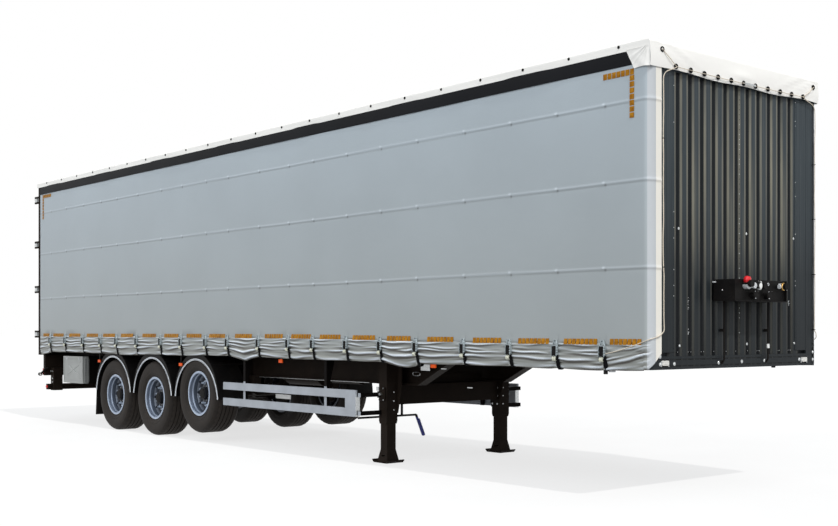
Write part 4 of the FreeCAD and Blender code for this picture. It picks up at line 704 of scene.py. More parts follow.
def curtain_y(side, x, z, laid=True):
    """Distance of the cloth from the middle plane, on the trailer's flat side. Behind an open door leaf the
    cloth is laid flat, which leaves room for the lock bars."""
    x, z = np.broadcast_arrays(np.asarray(x, float), np.asarray(z, float))
    relief = 0.0018 * np.sin(x * 1.9 + z * 0.8) + 0.0012 * np.sin(x * 4.7 - z * 2.1 + 1.0)
    for k, s in enumerate(SEAMS):
        line = s + 0.005 * np.sin(x * 1.3 + s) + 0.002 * np.sin(x * 5.1 + k)
        relief += 0.0014 * hill(z, line, 0.009) - 0.0011 * hill(z, line - 0.022, 0.010)
        for strap in STRAP_X:
            relief += 0.0042 * hill(x, strap, 0.020) * hill(z, line - 0.002, 0.014)
    relief += 0.0040 * smooth_step((REAR + 0.16 - x) / 0.16) * np.sin(z * 24.0) * (z < 3.4)
    relief += 0.0016 * np.sin(z * 2.4 + 0.5 * np.sin(x * 0.9)) * np.sin(x * 1.15)
    relief += FOLDS[side].out(x, z)
    if laid:
        relief *= 1 - 0.88 * smooth_step((DOOR_REACH - x) / 0.12)
    return CURTAIN_Y - 0.0035 - 0.020 * smooth_step((1.19 - z) / 0.10) + relief


def curtain_columns():
    """Stations along the side, closer together at the straps."""
    aside = (0.05, 0.035, 0.024, 0.014, 0.005)
    near = [strap + way * d for strap in STRAP_X for way in (-1, 1) for d in aside]
    places = np.unique(np.round(np.concatenate([np.linspace(REAR, FRONT - CORNER, 440), near]), 4))
    keep = [places[0]]
    for place in places[1:]:
        if place - keep[-1] > 0.006:
            keep.append(place)
    keep[-1] = FRONT - CORNER
    return np.array(keep)


def paint_fold_shading(cloth, out, x, z):
    """Keeps on each point its painted shade: positive, and growing, the further into a fold's hollow it lies,
    and negative, for a painted highlight, on a ridge. Each seam gets a painted highlight with painted shade
    just under it, and each knob where a strap crosses a seam a painted highlight with painted shade beside
    and below it.
    """
    depth = np.zeros_like(out)
    for column in range(out.shape[1]):
        foot = z[:, column] < MARKED_TOP
        steps = np.linspace(z[0, column], MARKED_TOP, 90)
        line = np.interp(steps, z[foot, column], out[foot, column])
        mean = np.convolve(np.pad(line, 8, "edge"), np.ones(11) / 11, "same")[8:-8]
        depth[foot, column] = np.interp(z[foot, column], steps, (mean - line) / CHANGE)
    # painted highlight along each seam, with painted shade just under it
    for seam in SEAMS:
        seam_shading = 0.13 * hill(z, seam - 0.020, 0.011) - 0.20 * hill(z, seam + 0.002, 0.010)
        depth += np.where(z > 1.5, seam_shading, 0.0)
        # painted highlight on the knob where a strap crosses the seam, with painted shade beside and below it
        for strap in STRAP_X:
            depth -= 0.34 * hill(x, strap + 0.004, 0.016) * hill(z, seam + 0.004, 0.012)
            depth += 0.30 * hill(x, strap + 0.026, 0.012) * hill(z, seam - 0.016, 0.016)
    depth = np.clip(np.where(depth > 0, depth * 1.7, depth * 0.85), -0.85, 0.94)
    layer = cloth.data.attributes.new("crease_shade", "FLOAT", "POINT")
    layer.data.foreach_set("value", depth.astype(np.float32).ravel())


def make_curtain(side, hand):
    """One cloth from the rear post to the front corner. The right one goes on round the pillar, where its
    foot is cut off slanting; the left one ends on the bend."""
    run = curtain_columns()
    flat, bend = len(run), CORNER * math.pi / 2
    if side < 0:
        beyond = np.concatenate([np.linspace(0, bend, 12)[1:], bend + np.linspace(0, 0.082, 9)[1:]])
    else:
        beyond = np.linspace(0, bend * 62 / 90, 9)[1:]
    x = np.concatenate([run, np.full(len(beyond), FRONT - CORNER)])
    seams = [np.linspace(s - 0.045, s + 0.035, 14) for s in SEAMS]
    upper = np.unique(np.concatenate([np.linspace(SKIRT_TOP, CLOTH_TOP, 24)] + seams))
    low = FOLDS[side].hem(x)
    if side < 0:
        low[flat:] = SILL + 0.004 + 0.137 * np.clip((beyond - 0.05) / (beyond[-1] - 0.05), 0, 1)
    t = np.linspace(0, 1, 62)[:-1, None]
    z = np.vstack([low[None, :] * (1 - t) + SKIRT_TOP * t, np.repeat(upper[:, None], len(x), 1)])
    grid = np.stack(np.broadcast_arrays(x, curtain_y(side, x, z), z), -1)
    proud = grid[:, flat - 1, 1] - CURTAIN_Y
    for k, distance in enumerate(beyond):
        angle = min(distance, bend) / CORNER
        reach = CORNER + proud * (1 - smooth_step(distance / bend * 1.2))
        grid[:, flat + k, 0] = FRONT - CORNER + reach * math.sin(angle) + 0.002
        grid[:, flat + k, 1] = CURTAIN_Y - CORNER + reach * math.cos(angle) - max(0.0, distance - bend)
    for s in SEAMS:
        grid[:, flat:, 0] += 0.003 * hill(z[:, flat:], s - 0.01, 0.016)
    grid[..., 1] *= side
    cloth = sheet(f"curtain_cloth_{hand}", grid, curtain_cloth, side > 0)
    x = grid[..., 0]
    # behind the door's reach the painted fold shading follows the folds of the cloth before it was laid flat
    loose = np.where(x < DOOR_REACH, curtain_y(side, x, z, laid=False), np.abs(grid[..., 1]))
    paint_fold_shading(cloth, loose, x, z)
    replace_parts(cloth, f"curtain_{hand}")


for side, hand in SIDES:
    make_curtain(side, hand)


def out_to(side, x, z, out):
    """Place across the trailer of a point that stands out from a curtain."""
    return side * (float(curtain_y(side, x, z)) + out)


def make_tape(side, hand):
    """Dashes of amber squares above the straps, and an angle in each upper corner."""
    tape = Build(amber_tape)

    def square(x, z, wide=0.0228, tall=0.0262):
        verts = [(x + a * share * wide, out_to(side, x + a * share * wide, z + b * share * tall, out),
                  z + b * share * tall) for share, out in ((1, 0.0032), (0.9, 0.0038))
                 for a, b in ((-1, -1), (1, -1), (1, 1), (-1, 1))]
        tape.add(verts, [[k, (k + 1) % 4, 4 + (k + 1) % 4, 4 + k] for k in range(4)] + [[4, 5, 6, 7]])

    edges = [REAR + 0.05] + STRAP_X + [FRONT - 0.02]
    for left, right in zip(edges, edges[1:]):
        count = min(8, int((right - left - 0.09) / 0.054))
        middle = (left + right) / 2 + (0.02 if right < FRONT - 0.1 else 0.006)
        for k in range(count):
            square(middle + (k - (count - 1) / 2) * 0.0535, 1.3985 + float(lift(middle)))
    for x, z, way, down, tall in ((FRONT - 0.200, 3.737, -1, 0.0538, 0.0228),
                                  (REAR + 0.125, 3.757, 1, 0.051, 0.0222)):
        for k in range(7):
            square(x + way * 0.0525 * k, z)
        for k in range(1, 8):
            square(x, z - down * k, 0.0262, tall)
    tape.object(f"amber_tape_{hand}")


def make_strap(build, side, x, lean, tucked):
    """An over-centre buckle on a sewn patch, with webbing down over the cloth and in under its hem."""
    up = float(lift(x))
    hem = float(FOLDS[side].hem(np.array([x]))[0])

    def on(z, out):
        return out_to(side, x, z, out)

    patch = [(x + dx, out_to(side, x + dx, z + up, 0.0022), z + up) for z in (1.470, 1.455, 1.390, 1.372)
             for dx in (-0.036, -0.026, 0.026, 0.036)]
    build.add(patch, [[i, i + 1, i + 5, i + 4] for i in (0, 1, 2, 4, 5, 6, 8, 9, 10)], 3)
    face = max(abs(on(z + up, 0)) for z in (1.38, 1.33, 1.28))

    def block(x0, x1, out0, out1, z0, z1, slot, chamfer):
        build.block((x + x0, side * (face + out0), z0 + up), (x + x1, side * (face + out1), z1 + up), slot,
                    chamfer)

    def rod(x0, x1, out, z, *shape):
        build.rod((x + x0, side * (face + out), z + up), (x + x1, side * (face + out), z + up), *shape)

    top = 1.405 + up
    foot = [(x + dx, side * (face + 0.012), 1.360 + up) for dx in (-0.030, 0.032)]
    loop = [(x + dx, on(top, 0.010), top + 0.004) for dx in (-0.016, 0.016)]
    build.tube([foot[0], *loop, foot[1], foot[0]], 0.0062, 8, 1)
    build.block((x - 0.016, on(top, 0.006), 1.366 + up),
                (x + 0.018, on(top, 0.006) + side * 0.006, 1.398 + up),
                1, 0.003)
    block(-0.034, 0.016, 0.002, 0.022, 1.268, 1.356, 2, 0.005)
    for middle, thick in ((lean - 0.036, 0.0015), (lean + 0.030, 0.0035)):
        block(middle - thick, middle + thick, 0.001, 0.028, 1.262, 1.366, 1, 0.001)
    for k in range(4):
        rod(0.030, 0.046, 0.027, 1.280 + 0.024 * k, 0.0075, 8, 1)
    rod(-0.024, 0.020, 0.016, 1.238, 0.023, 8, 4, 0.004)
    rod(-0.038, 0.026, 0.016, 1.236, 0.010, 10, 2)
    line = []
    for z in np.linspace(1.275 + up, hem + 0.006, 10):
        out = abs(on(z, 0.014)) + 0.004 * smooth_step((z - 1.23 - up) / 0.04)
        line.append((x + 0.020 + 0.032 * (1.275 + up - z) / 0.12, side * out, z))
    tail_x, tail_out = line[-1][0], abs(line[-1][1])
    if tucked:
        line += [(tail_x + 0.003, side * (tail_out - 0.010), hem - 0.010),
                 (tail_x + 0.004, side * (tail_out - 0.030), hem - 0.006),
                 (tail_x + 0.004, side * 1.205, hem + 0.05)]
    else:
        line += [(tail_x, side * (tail_out - 0.002), hem - 0.006)]
        build.block((tail_x - 0.050, side * (tail_out - 0.020), hem - 0.034),
                    (tail_x - 0.004, side * (tail_out - 0.004), hem + 0.004), 2, 0.004)
    build.tube(line, 0, slot=0, flat=(0.048, 0.0036, X))


for side, hand in SIDES:
    make_tape(side, hand)
    straps = Build(webbing, buckle_metal, plastic_black, curtain_cloth, strap_roller)
    for index, x in enumerate(STRAP_X):
        make_strap(straps, side, x, 0.003 * math.sin(index * 2.3), STRAPS[index] < -1.0)
    straps.object(f"curtain_straps_{hand}")


# ---- roof tarpaulin

ROOF_REAR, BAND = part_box("roof_cover")[0].x, 0.080
EDGE, BEND = 0.014, 0.012           # radii of the roof's bends, along each side and at the front
TURN, ACROSS = EDGE * math.pi / 2, (HALF - EDGE) * 2
FLAP_FOOT = 3.762
# folds of a lappet, as turn, width and height, and of the flap beside it, as height, place, slant and width
LAPPET_FOLDS = ((0.42, 0.10, 0.010), (0.70, 0.075, 0.008), (1.00, 0.09, 0.009), (1.30, 0.06, 0.006))
FLAP_FOLDS = ((0.012, 0.06, 0.46, 0.040), (-0.006, 0.15, 0.50, 0.035), (0.009, 0.24, 0.62, 0.045))


def roof_section(place):
    """Point of the roof's section, by the distance along it from the right band's foot."""
    flat_from, flat_to = BAND - EDGE + TURN, BAND - EDGE + TURN + ACROSS
    if place <= BAND - EDGE:
        return -HALF, TOP - BAND + place
    if place <= flat_from:
        a = (place - BAND + EDGE) / EDGE
        return EDGE - HALF - EDGE * math.cos(a), TOP - EDGE + EDGE * math.sin(a)
    if place <= flat_to:
        return EDGE - HALF + place - flat_from, TOP
    if place <= flat_to + TURN:
        a = (place - flat_to) / EDGE
        return HALF - EDGE + EDGE * math.sin(a), TOP - EDGE + EDGE * math.cos(a)
    return HALF, TOP - EDGE - (place - flat_to - TURN)


def flap_bulge(y, t):
    """How far the front flap stands off the wall, at a share t of its height down."""
    bulge = 0.007 + 0.006 * math.sin(math.pi * t) + 0.004 * math.sin(y * 5.1 + t * 2.0) * t
    bulge += 0.010 * hill(y, 0.02, 0.12) * hill(t, 0.62, 0.18)
    for way in (-1, 1):
        for high, from_edge, slant, width in FLAP_FOLDS:
            bulge += high * hill(HALF - way * y, from_edge + slant * t, width) * (1 - t)
    return max(0.003, bulge)


def make_roof():
    """Top, both side bands and the front flap as one sheet."""
    x = np.concatenate([np.linspace(ROOF_REAR, FRONT - 0.33, 190),
                        np.linspace(FRONT - 0.31, FRONT - BEND, 22)])
    across = np.concatenate([np.linspace(0, BAND - EDGE, 6)[:-1], BAND - EDGE + TURN * np.linspace(0, 1, 6),
                             BAND - EDGE + TURN + ACROSS * np.linspace(0, 1, 34)[1:-1]])
    total = (BAND - EDGE + TURN) * 2 + ACROSS
    places = np.unique(np.round(np.concatenate([across, total - across]), 6))
    grid = np.zeros((len(places), len(x), 3))
    for i, place in enumerate(places):
        y, z = roof_section(place)
        band = abs(y) > HALF - 1e-6
        wave = 0.002 * np.sin(x * 3.3 + place * 20) * band * np.clip((TOP - z) / BAND, 0, 1)
        droop = math.cos(min(abs(y) / HALF, 1) * math.pi / 2) ** 0.5
        dip = 0.002 + 0.004 * np.sin(math.pi * (x - ROOF_REAR) / 0.62) ** 2 * droop
        grid[i] = np.stack([x, y + np.sign(y) * wave, z - dip * (not band and z >= TOP - 1e-4)], -1)
    steps = np.concatenate([np.linspace(0, 1, 6)[1:], 1 + np.linspace(0, 1, 22)[1:]])
    front = np.zeros((len(places), len(steps), 3))
    for i, (_, y, z0) in enumerate(grid[:, -1]):
        top, foot = min(z0, TOP - BEND), FLAP_FOOT - 0.006 * math.cos(y * 2.2) + 0.006 * math.sin(y * 7 + 1)
        for j, step in enumerate(steps):
            if step <= 1:
                a = step * math.pi / 2
                down = BEND * (1 - math.cos(a)) if z0 > TOP - 0.03 else 0
                front[i, j] = (FRONT - BEND + BEND * math.sin(a), y, z0 - down)
            else:
                front[i, j] = (FRONT + flap_bulge(y, step - 1), y, top + (foot - top) * (step - 1))
    cloth = sheet("roof_tarp", np.concatenate([grid, front], axis=1), roof_cloth)
    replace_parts(cloth, "roof_cover")


def make_lappet(side, hand):
    """End of the front flap, turned round the corner on to the side and fanned into folds."""
    top = TOP - 0.070
    lappet = np.zeros((40, 56, 3))
    for i, v in enumerate(np.linspace(0, 1, 40)):
        z = top + (FLAP_FOOT - 0.004 - top) * v
        rear = FRONT - 0.262 + 0.095 * v
        for j, u in enumerate(np.linspace(0, 1, 56)):
            x = rear + (FRONT + 0.004 - rear) * u
            ahead, below = max(FRONT - x, 1e-4), TOP - 0.055 - z
            turn, far = math.atan2(below, ahead), math.hypot(ahead, below)
            fan = sum(high * hill(turn, at, wide) for at, wide, high in LAPPET_FOLDS)
            fold = fan * min(1.0, far / 0.05) * math.exp(-far / 0.22) + 0.003 * math.sin(u * 7 - v * 3.2) * v
            corner = -0.008 * (max(0.0, x - FRONT + 0.03) / 0.034) ** 2
            out = HALF + 0.003 + 0.005 * math.exp(-v / 0.05) + max(-0.001, fold) + corner
            lappet[i, j] = (x, side * out, z + 0.006 * math.sin(u * math.pi) * v)
    piece = sheet(f"roof_lappet_{hand}", lappet, roof_cloth, side < 0)


def make_track_strip(side, hand):
    """Black strip under the roof's edge, its front end cut slanting."""
    v = np.linspace(0, 1, 9)[:, None]
    x = REAR + 0.012 + (FRONT - 0.262 + 0.078 * v - REAR - 0.012) * np.linspace(0, 1, 260)
    wave = 0.0022 * np.sin(x * 2.6) * v + 0.0012 * np.sin(x * 9.1 + 2) * v
    out = CURTAIN_Y + 0.0035 + wave + 0.003 * np.sin(v * math.pi)
    strip = np.stack([x, side * out, 3.926 - 0.129 * v + 0.0015 * np.sin(x * 1.7)], -1)
    piece = sheet(f"track_strip_{hand}", strip, black_cloth, side < 0)


FLAP_EYES = [(-1.121, 3.919), (-0.937, 3.797), (-0.734, 3.793), (-0.542, 3.791), (-0.345, 3.790),
             (-0.150, 3.789), (0.036, 3.789), (0.222, 3.789), (0.419, 3.790), (0.620, 3.791),
             (0.809, 3.792), (1.000, 3.794), (1.178, 3.911)]
EYE_SPACING = 0.6135


def make_eyelets():
    """Black rings in the roof's bands and front flap."""
    build = Build(plastic_black, zinc)
    for y, z in FLAP_EYES:
        build.ring((FRONT + 0.017, y, z), X, 0.0185, 0.0068, 18, 8)
        build.lathe((FRONT + 0.010, y, z), X, [(0.014, 0), (0.013, 0.004), (0, 0.004)], 16)
    for side in (-1, 1):
        for k in range(22):
            x = FRONT - 13.233 + EYE_SPACING * k
            build.ring((x, side * (HALF + 0.002), 3.972), (0, side, 0), 0.011, 0.004, 14, 6)
            build.lathe((x, side * (HALF + 0.0005), 3.972), (0, side, 0),
                        [(0.010, 0), (0.009, 0.003), (0, 0.003)], 12)
    build.object("roof_eyelets")


def rounded(points):
    """The same run with its corners cut twice."""
    points = np.array(points)
    for _ in range(2):
        cuts = np.stack([points[:-1] * 0.75 + points[1:] * 0.25, points[:-1] * 0.25 + points[1:] * 0.75], 1)
        points = np.vstack([points[:1], cuts.reshape(-1, 3), points[-1:]])
    return points


def make_seal_cord():
    """Taut sealing cord laced through the front flap, down both corners and back to a strap on each side."""
    build = Build(cord_cream, zinc, plastic_black)
    radius, face, x0 = 0.0042, FRONT + 0.024, FRONT + 0.012
    path = []
    for a, b in zip(FLAP_EYES, FLAP_EYES[1:]):
        for t in np.linspace(0, 1, 7)[:-1]:
            path.append((face - 0.004 * math.cos(2 * math.pi * t), a[0] + (b[0] - a[0]) * t,
                         a[1] + (b[1] - a[1]) * t - 0.006 * math.sin(math.pi * t)))
    build.tube(path + [(face, *FLAP_EYES[-1])], radius * 0.8, 8)
    for way, knee, inner, turned, ties in ((-1, 0.937, 1.10, 1.205, (3.155, 2.044)),
                                           (1, 1.000, 1.215, 1.243, (3.148, 2.605, 2.057, 1.507))):
        wander = np.convolve(np.random.default_rng(31 + way).normal(0, 0.007, 30), np.ones(4) / 4, "same")
        down = [(face, knee, 3.790), (face - 0.004, knee + 0.05, 3.765), (x0, inner - 0.045, 3.742),
                (x0, inner - 0.006, 3.705)]
        down += [(x0 + 0.002 * math.sin(k), inner - 0.002 + wander[k], z)
                 for k, z in enumerate(np.linspace(3.66, 1.56, 26))]
        down += [(x0, inner - 0.012, 1.50), (x0 + 0.004, inner + 0.016, 1.475),
                 (x0 + 0.004, (inner + turned) / 2, 1.452), (FRONT + 0.010, turned, 1.436),
                 (FRONT - 0.006, max(1.250, turned + 0.014), 1.424),
                 (FRONT - 0.030, CURTAIN_Y + 0.006, 1.412)]
        for x, z in ((-0.10, 1.388), (-0.20, 1.358), (-0.336, 1.324), (-0.45, 1.300), (-0.535, 1.286)):
            down.append((FRONT + x, abs(out_to(way, FRONT + x, z, 0.007)), z))
        build.tube(rounded([(x, way * y, z) for x, y, z in down]), radius, 8)
        for z in ties:
            build.ring((x0 - 0.003, way * (inner - 0.004), z), Z, 0.009, 0.0035, 14, 6, 2)
            build.rod((FRAME_FACE, way * (inner - 0.010), z), (x0 - 0.002, way * (inner - 0.006), z), 0.004,
                      8, 2)
    # turnbuckle between two eyelets
    x, z = face + 0.004, 3.787
    for y0, y1, dz, thick, sides in ((0.055, 0.195, 0, 0.0055, 10), (0.075, 0.175, -0.008, 0.003, 8),
                                     (0.075, 0.175, 0.008, 0.003, 8)):
        build.rod((x, y0, z + dz), (x, y1, z + dz), thick, sides, 1)
    for y in (0.052, 0.198):
        build.ring((x, y, z), X, 0.010, 0.003, 14, 6, 1)
    build.object("seal_cord")


make_roof()
for side, hand in SIDES:
    make_lappet(side, hand)
for side, hand in SIDES:
    make_track_strip(side, hand)
make_eyelets()
make_seal_cord()


# ---- front wall

RIB_STUDS = ((-0.853, 2.394), (-0.840, 1.364), (0.133, 2.402), (0.142, 1.373), (0.898, 2.398), (0.914, 1.375))
SILL_BOLTS = ((-1.112, 1.271), (-1.110, 1.205), (-0.921, 1.206), (-0.295, 1.206), (0.053, 1.211),
              (0.408, 1.214), (0.985, 1.217), (1.222, 1.286), (1.222, 1.213))
HOOKS = ((-0.691, 1.776), (-0.691, 1.714), (-0.685, 1.496), (0.862, 1.775), (0.894, 1.489))


def make_wall_details():
    """Cover plates, rivet lines, studs, hooks, the sill's bolts and the turned rib ends."""
    build = Build(zinc, wall_paint, plastic_black, clear_lens)
    for side in (-1, 1):
        build.block((RIB_BACK + 0.002, side * 0.935, 1.304), (FRAME_FACE - 0.0015, side * 1.104, 3.790), 1,
                    0.003)
        build.block((RIB_FACE - 0.001, side * 0.914, 1.306), (FRAME_FACE - 0.003, side * 0.934, 3.788), 1,
                    0.002)
    for y, face, bare in ((-0.924, FRAME_FACE - 0.003, 0.12), (0.027, RIB_FACE, 0.35),
                          (0.924, FRAME_FACE - 0.003, 0.12)):
        for z in np.arange(1.34, 3.75, 0.046):
            build.dome((face, y, z), X, 0.0044, 0.003, 8, int(random.random() >= bare))
    for face, places, radius, height, rim, top, sides in (
            (RIB_FACE, RIB_STUDS, 0.009, 0.007, 0.012, 0.008, 14),
            (FRAME_FACE, SILL_BOLTS, 0.013, 0.010, 0.017, 0.012, 16)):
        for y, z in places:
            build.dome((face, y, z), X, radius, height, sides)
            build.lathe((face - 0.001, y, z), X, [(rim, 0), (rim, 0.003), (top, 0.004), (0, 0.004)],
                        sides + 2)
    build.origin = Vector((RIB_BACK, 0, 0))
    for y, z in HOOKS:
        build.ring((0.004, y, z), X, 0.014, 0.0034, 14, 6, start=0.6, sweep=math.pi * 1.3)
        build.block((-0.001, y - 0.004, z - 0.034), (0.003, y + 0.004, z - 0.010), 0, 0.001)
    for lip in np.arange(-1.06, 1.07, 0.0365):
        build.block((0.0005, lip - 0.012, 1.303), (0.010, lip + 0.010, 1.311), 1, 0.002)
        build.dome((0.010, lip, 1.307), X, 0.004, 0.003, 8)
    for side in (-1, 1):
        build.origin = Vector((FRAME_FACE, side * 1.055, 0))
        for dy in (-0.049, 0.049):
            build.block((0, dy - 0.004, 1.182), (0.012, dy + 0.004, 1.232), 0, 0.002)
        build.block((0.014, -0.036, 1.205), (0.0175, 0.036, 1.209), 3, 0.001)
    build.object("wall_fittings")


def make_couplings():
    """Palm couplings with coloured covers, socket lids and fixings, with x from the box's front rim."""
    rim = FRONT + 0.215
    low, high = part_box("service_box")
    build = Build(plastic_black, coupling_alloy, red_plastic, white_plastic, brass, origin=(rim, 0, 0))
    # the red coupling's valve, arm, face and pin, and the yellow one's valve and arm
    for x0, x1, y0, y1, z, radius, sides, slot in (
            (-0.025, 0.030, -0.185, -0.185, 1.905, 0.034, 18, 1),
            (0.016, 0.016, -0.185, -0.100, 1.905, 0.024, 16, 1),
            (0.016, 0.040, -0.110, -0.110, 1.905, 0.028, 16, 1),
            (-0.012, 0.032, -0.150, -0.150, 1.905, 0.008, 10, 1),
            (-0.025, 0.030, 0.350, 0.350, 1.913, 0.024, 18, 1),
            (0.014, 0.014, 0.290, 0.410, 1.905, 0.020, 14, 1)):
        build.rod((x0, y0, z), (x1, y1, z), radius, sides, slot)
    for y, z, radius in ((0.078, 1.916, 0.016), (0.132, 1.922, 0.014)):
        build.rod((-0.025, y, z), (0.007, y, z), radius, 14)
        build.ring((0.007, y, z), X, radius * 0.8, 0.003, 14, 6, 1)
    red_cover = [(0, 0), (0.028, 0), (0.034, 0.010), (0.034, 0.036), (0.024, 0.052), (0, 0.055)]
    brass_face = [(0, 0), (0.036, 0), (0.036, 0.014), (0.028, 0.024), (0, 0.026)]
    white_cap = [(0, 0), (0.031, 0), (0.031, 0.050), (0.024, 0.060), (0, 0.062)]
    build.lathe((0.006, -0.190, 1.934), (0.25, -0.1, 1), red_cover, 20, 2)
    build.lathe((0.022, 0.340, 1.905), X, brass_face, 22, 4)
    build.lathe((-0.025, -0.020, 1.908), X, white_cap, 20, 3)
    build.ring((0.044, 0.372, 1.905), (1, 0.2, 0), 0.026, 0.008, 20, 8, 3)
    build.dome((-0.025, 0.022, 1.812), X, 0.012, 0.008, 12)
    for start, end, slot, chamfer in (
            ((-0.004, -0.212, 1.945), (0.028, -0.166, 1.960), 2, 0.004),
            ((0.004, 0.395, 1.896), (0.034, 0.425, 1.930), 1, 0.005),
            ((0.005, -0.044, 1.868), (0.035, 0.004, 1.948), 3, 0.010),
            ((-0.008, low.y + 0.01, low.z - 0.004), (0.006, high.y - 0.01, low.z + 0.001), 0, 0.0015)):
        build.block(start, end, slot, chamfer)
    lid = [(0, 0), (0.037, 0), (0.039, 0.005), (0.039, 0.012), (0.033, 0.018), (0, 0.020)]
    z = low.z + 0.051
    for y in (-0.072, 0.136):
        build.lathe((0.011, y, z), X, lid, 24)
        build.block((0.015, y - 0.016, z + 0.030), (0.033, y + 0.016, z + 0.044), 0, 0.003)
        build.rod((0.025, y - 0.022, z + 0.037), (0.025, y + 0.022, z + 0.037), 0.004, 8, 1)
        build.dome((0.030, y - 0.020, z - 0.026), X, 0.005, 0.004, 10, 1)
        build.ring((0.027, y, z), X, 0.030, 0.0045, 20, 6)
    for y, way in ((low.y, -1), (high.y, 1)):
        for x, z, slot in ((-0.140, 1.862, 1), (-0.055, 1.80, 0), (-0.055, 1.93, 0)):
            build.dome((x, y, z), (0, way, 0), 0.006, 0.004, 12, slot)
        build.block((-0.235, y - way * 0.004 - 0.030, 1.930), (-0.211, y - way * 0.004 + 0.030, 1.944), 1,
                    0.002)
    # sleeve on one line
    build.lathe((FRAME_FACE + 0.032 - rim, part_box("service_lines")[1].y - 0.016, 1.330), Z,
                [(0.0085, 0), (0.014, 0.002), (0.014, 0.040), (0.0085, 0.042)], 16, 3)
    build.object("couplings")


make_wall_details()
make_couplings()


# ---- wheels

# half of a tyre's section from the tread's middle to the bead, as radius and place from the middle
TYRE = [(0.535, 0.000), (0.535, 0.022), (0.524, 0.024), (0.524, 0.033), (0.535, 0.035), (0.535, 0.078),
        (0.524, 0.080), (0.524, 0.090), (0.535, 0.092), (0.5345, 0.128), (0.530, 0.142), (0.524, 0.156),
        (0.512, 0.172), (0.500, 0.1805), (0.498, 0.1825), (0.494, 0.1830), (0.480, 0.1890), (0.452, 0.1925),
        (0.420, 0.1922), (0.392, 0.1895), (0.372, 0.1850), (0.366, 0.1868), (0.360, 0.1850), (0.345, 0.1790),
        (0.330, 0.1690), (0.318, 0.1600), (0.309, 0.1520), (0.301, 0.1470), (0.290, 0.1462)]
TYRE_SIDES = 120


def make_tyre(wheel):
    """Ribbed tread with shoulder sipes, rounded walls with moulded rings, and beads."""
    section = [(r, -y) for r, y in reversed(TYRE[1:])] + TYRE
    verts = []
    for k in range(TYRE_SIDES):
        angle = 2 * math.pi * k / TYRE_SIDES
        for r, y in section:
            if k % 3 == 0 and 0.128 <= abs(y) <= 0.172 and r > 0.5:
                r -= 0.0045
            elif k % 4 == 0 and 0.035 <= abs(y) <= 0.078 and r > 0.53:
                r -= 0.003
            verts.append((r * math.cos(angle), y, r * math.sin(angle)))
    count = len(section)
    tyre = Build(tyre_material(CENTRES[wheel]), origin=CENTRES[wheel])
    tyre.add(verts, skin([[k * count + j for j in range(count)] for k in range(TYRE_SIDES)], loop=True))
    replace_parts(tyre.object(f"tyre_tread_{wheel}", f"wheel_{wheel}", 28), f"tyre_{wheel}")


def make_wheel_trim(wheel, side):
    """Ten wheel nuts on washers, the hub's cap and bolts, a valve stem and the rim's bright lip."""
    trim = Build(rim_nut, plastic_black, steel, origin=CENTRES[wheel])
    out_axis = (0, side, 0)

    def spot(radius, angle, out):
        return (radius * math.sin(angle), side * (0.0205 + out), radius * math.cos(angle))

    for k in range(10):
        angle = 2 * math.pi * k / 10
        trim.lathe(spot(0.1675, angle, 0), out_axis,
                   [(0.026, -0.001), (0.026, 0.004), (0.020, 0.006), (0, 0.006)], 18)
        trim.hexagon(spot(0.1675, angle, 0.005), out_axis, 0.033, 0.024)
        trim.rod(spot(0.1675, angle, 0.024), spot(0.1675, angle, 0.046), 0.0105, 12)
        trim.hexagon(spot(0.102, angle + math.pi / 10, 0.042), out_axis, 0.014, 0.008, 2)
    trim.ring(spot(0, 0, 0.043), (0, 1, 0), 0.084, 0.004, 36, 6, 1)
    trim.lathe(spot(0, 0, 0.085), out_axis, [(0.070, 0), (0.066, 0.008), (0.030, 0.012), (0, 0.012)], 32, 1)
    trim.ring((0, side * 0.1595, 0), (0, 1, 0), 0.3005, 0.0034, 96, 8)
    # valve stem reaching out between two hand holes
    x, y, z = spot(0.236, 0.31, 0)
    trim.rod((x, y + side * 0.020, z), (x + 0.012, y + side * 0.075, z + 0.018), 0.0045, 10, 2)
    trim.rod((x + 0.012, y + side * 0.072, z + 0.018), (x + 0.014, y + side * 0.088, z + 0.021), 0.006, 10, 1)
    trim.object(f"wheel_nuts_{wheel}", f"wheel_{wheel}", 40)


for wheel, side in WHEELS:
    make_tyre(wheel)
    make_wheel_trim(wheel, side)


# ---- running gear and underbody

def make_guard_trims(side, hand):
    """Bright channel strips with a black bead along the cut edge of each valance."""
    build = Build(trim_alloy, plastic_black)
    y = side * (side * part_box(f"mudguards_{hand}")[int(side > 0)].y + 0.002)
    middle, radius = 0.510, 0.602
    start = math.asin((0.592 - middle) / radius)
    section = ((-0.5, -0.5), (-0.5, 0.35), (-0.36, 0.5), (0.36, 0.5), (0.5, 0.35), (0.5, -0.5))
    rows = [list(range(k * 6, k * 6 + 6)) for k in range(72)]
    for axle in ("front", "middle", "rear"):
        build.origin = Vector((CENTRES[f"{axle}_{hand}"].x, y, middle))
        for slot, width, thick, reach in ((0, 0.022, 0.008, 0.0), (1, 0.005, 0.002, 0.0045)):
            verts = [((radius + dr * width) * math.cos(a), side * (reach + dy * thick),
                      (radius + dr * width) * math.sin(a))
                     for a in np.linspace(start, math.pi - start, 72) for dr, dy in section]
            build.add(verts, skin(rows), slot)
    build.object(f"guard_trims_{hand}")


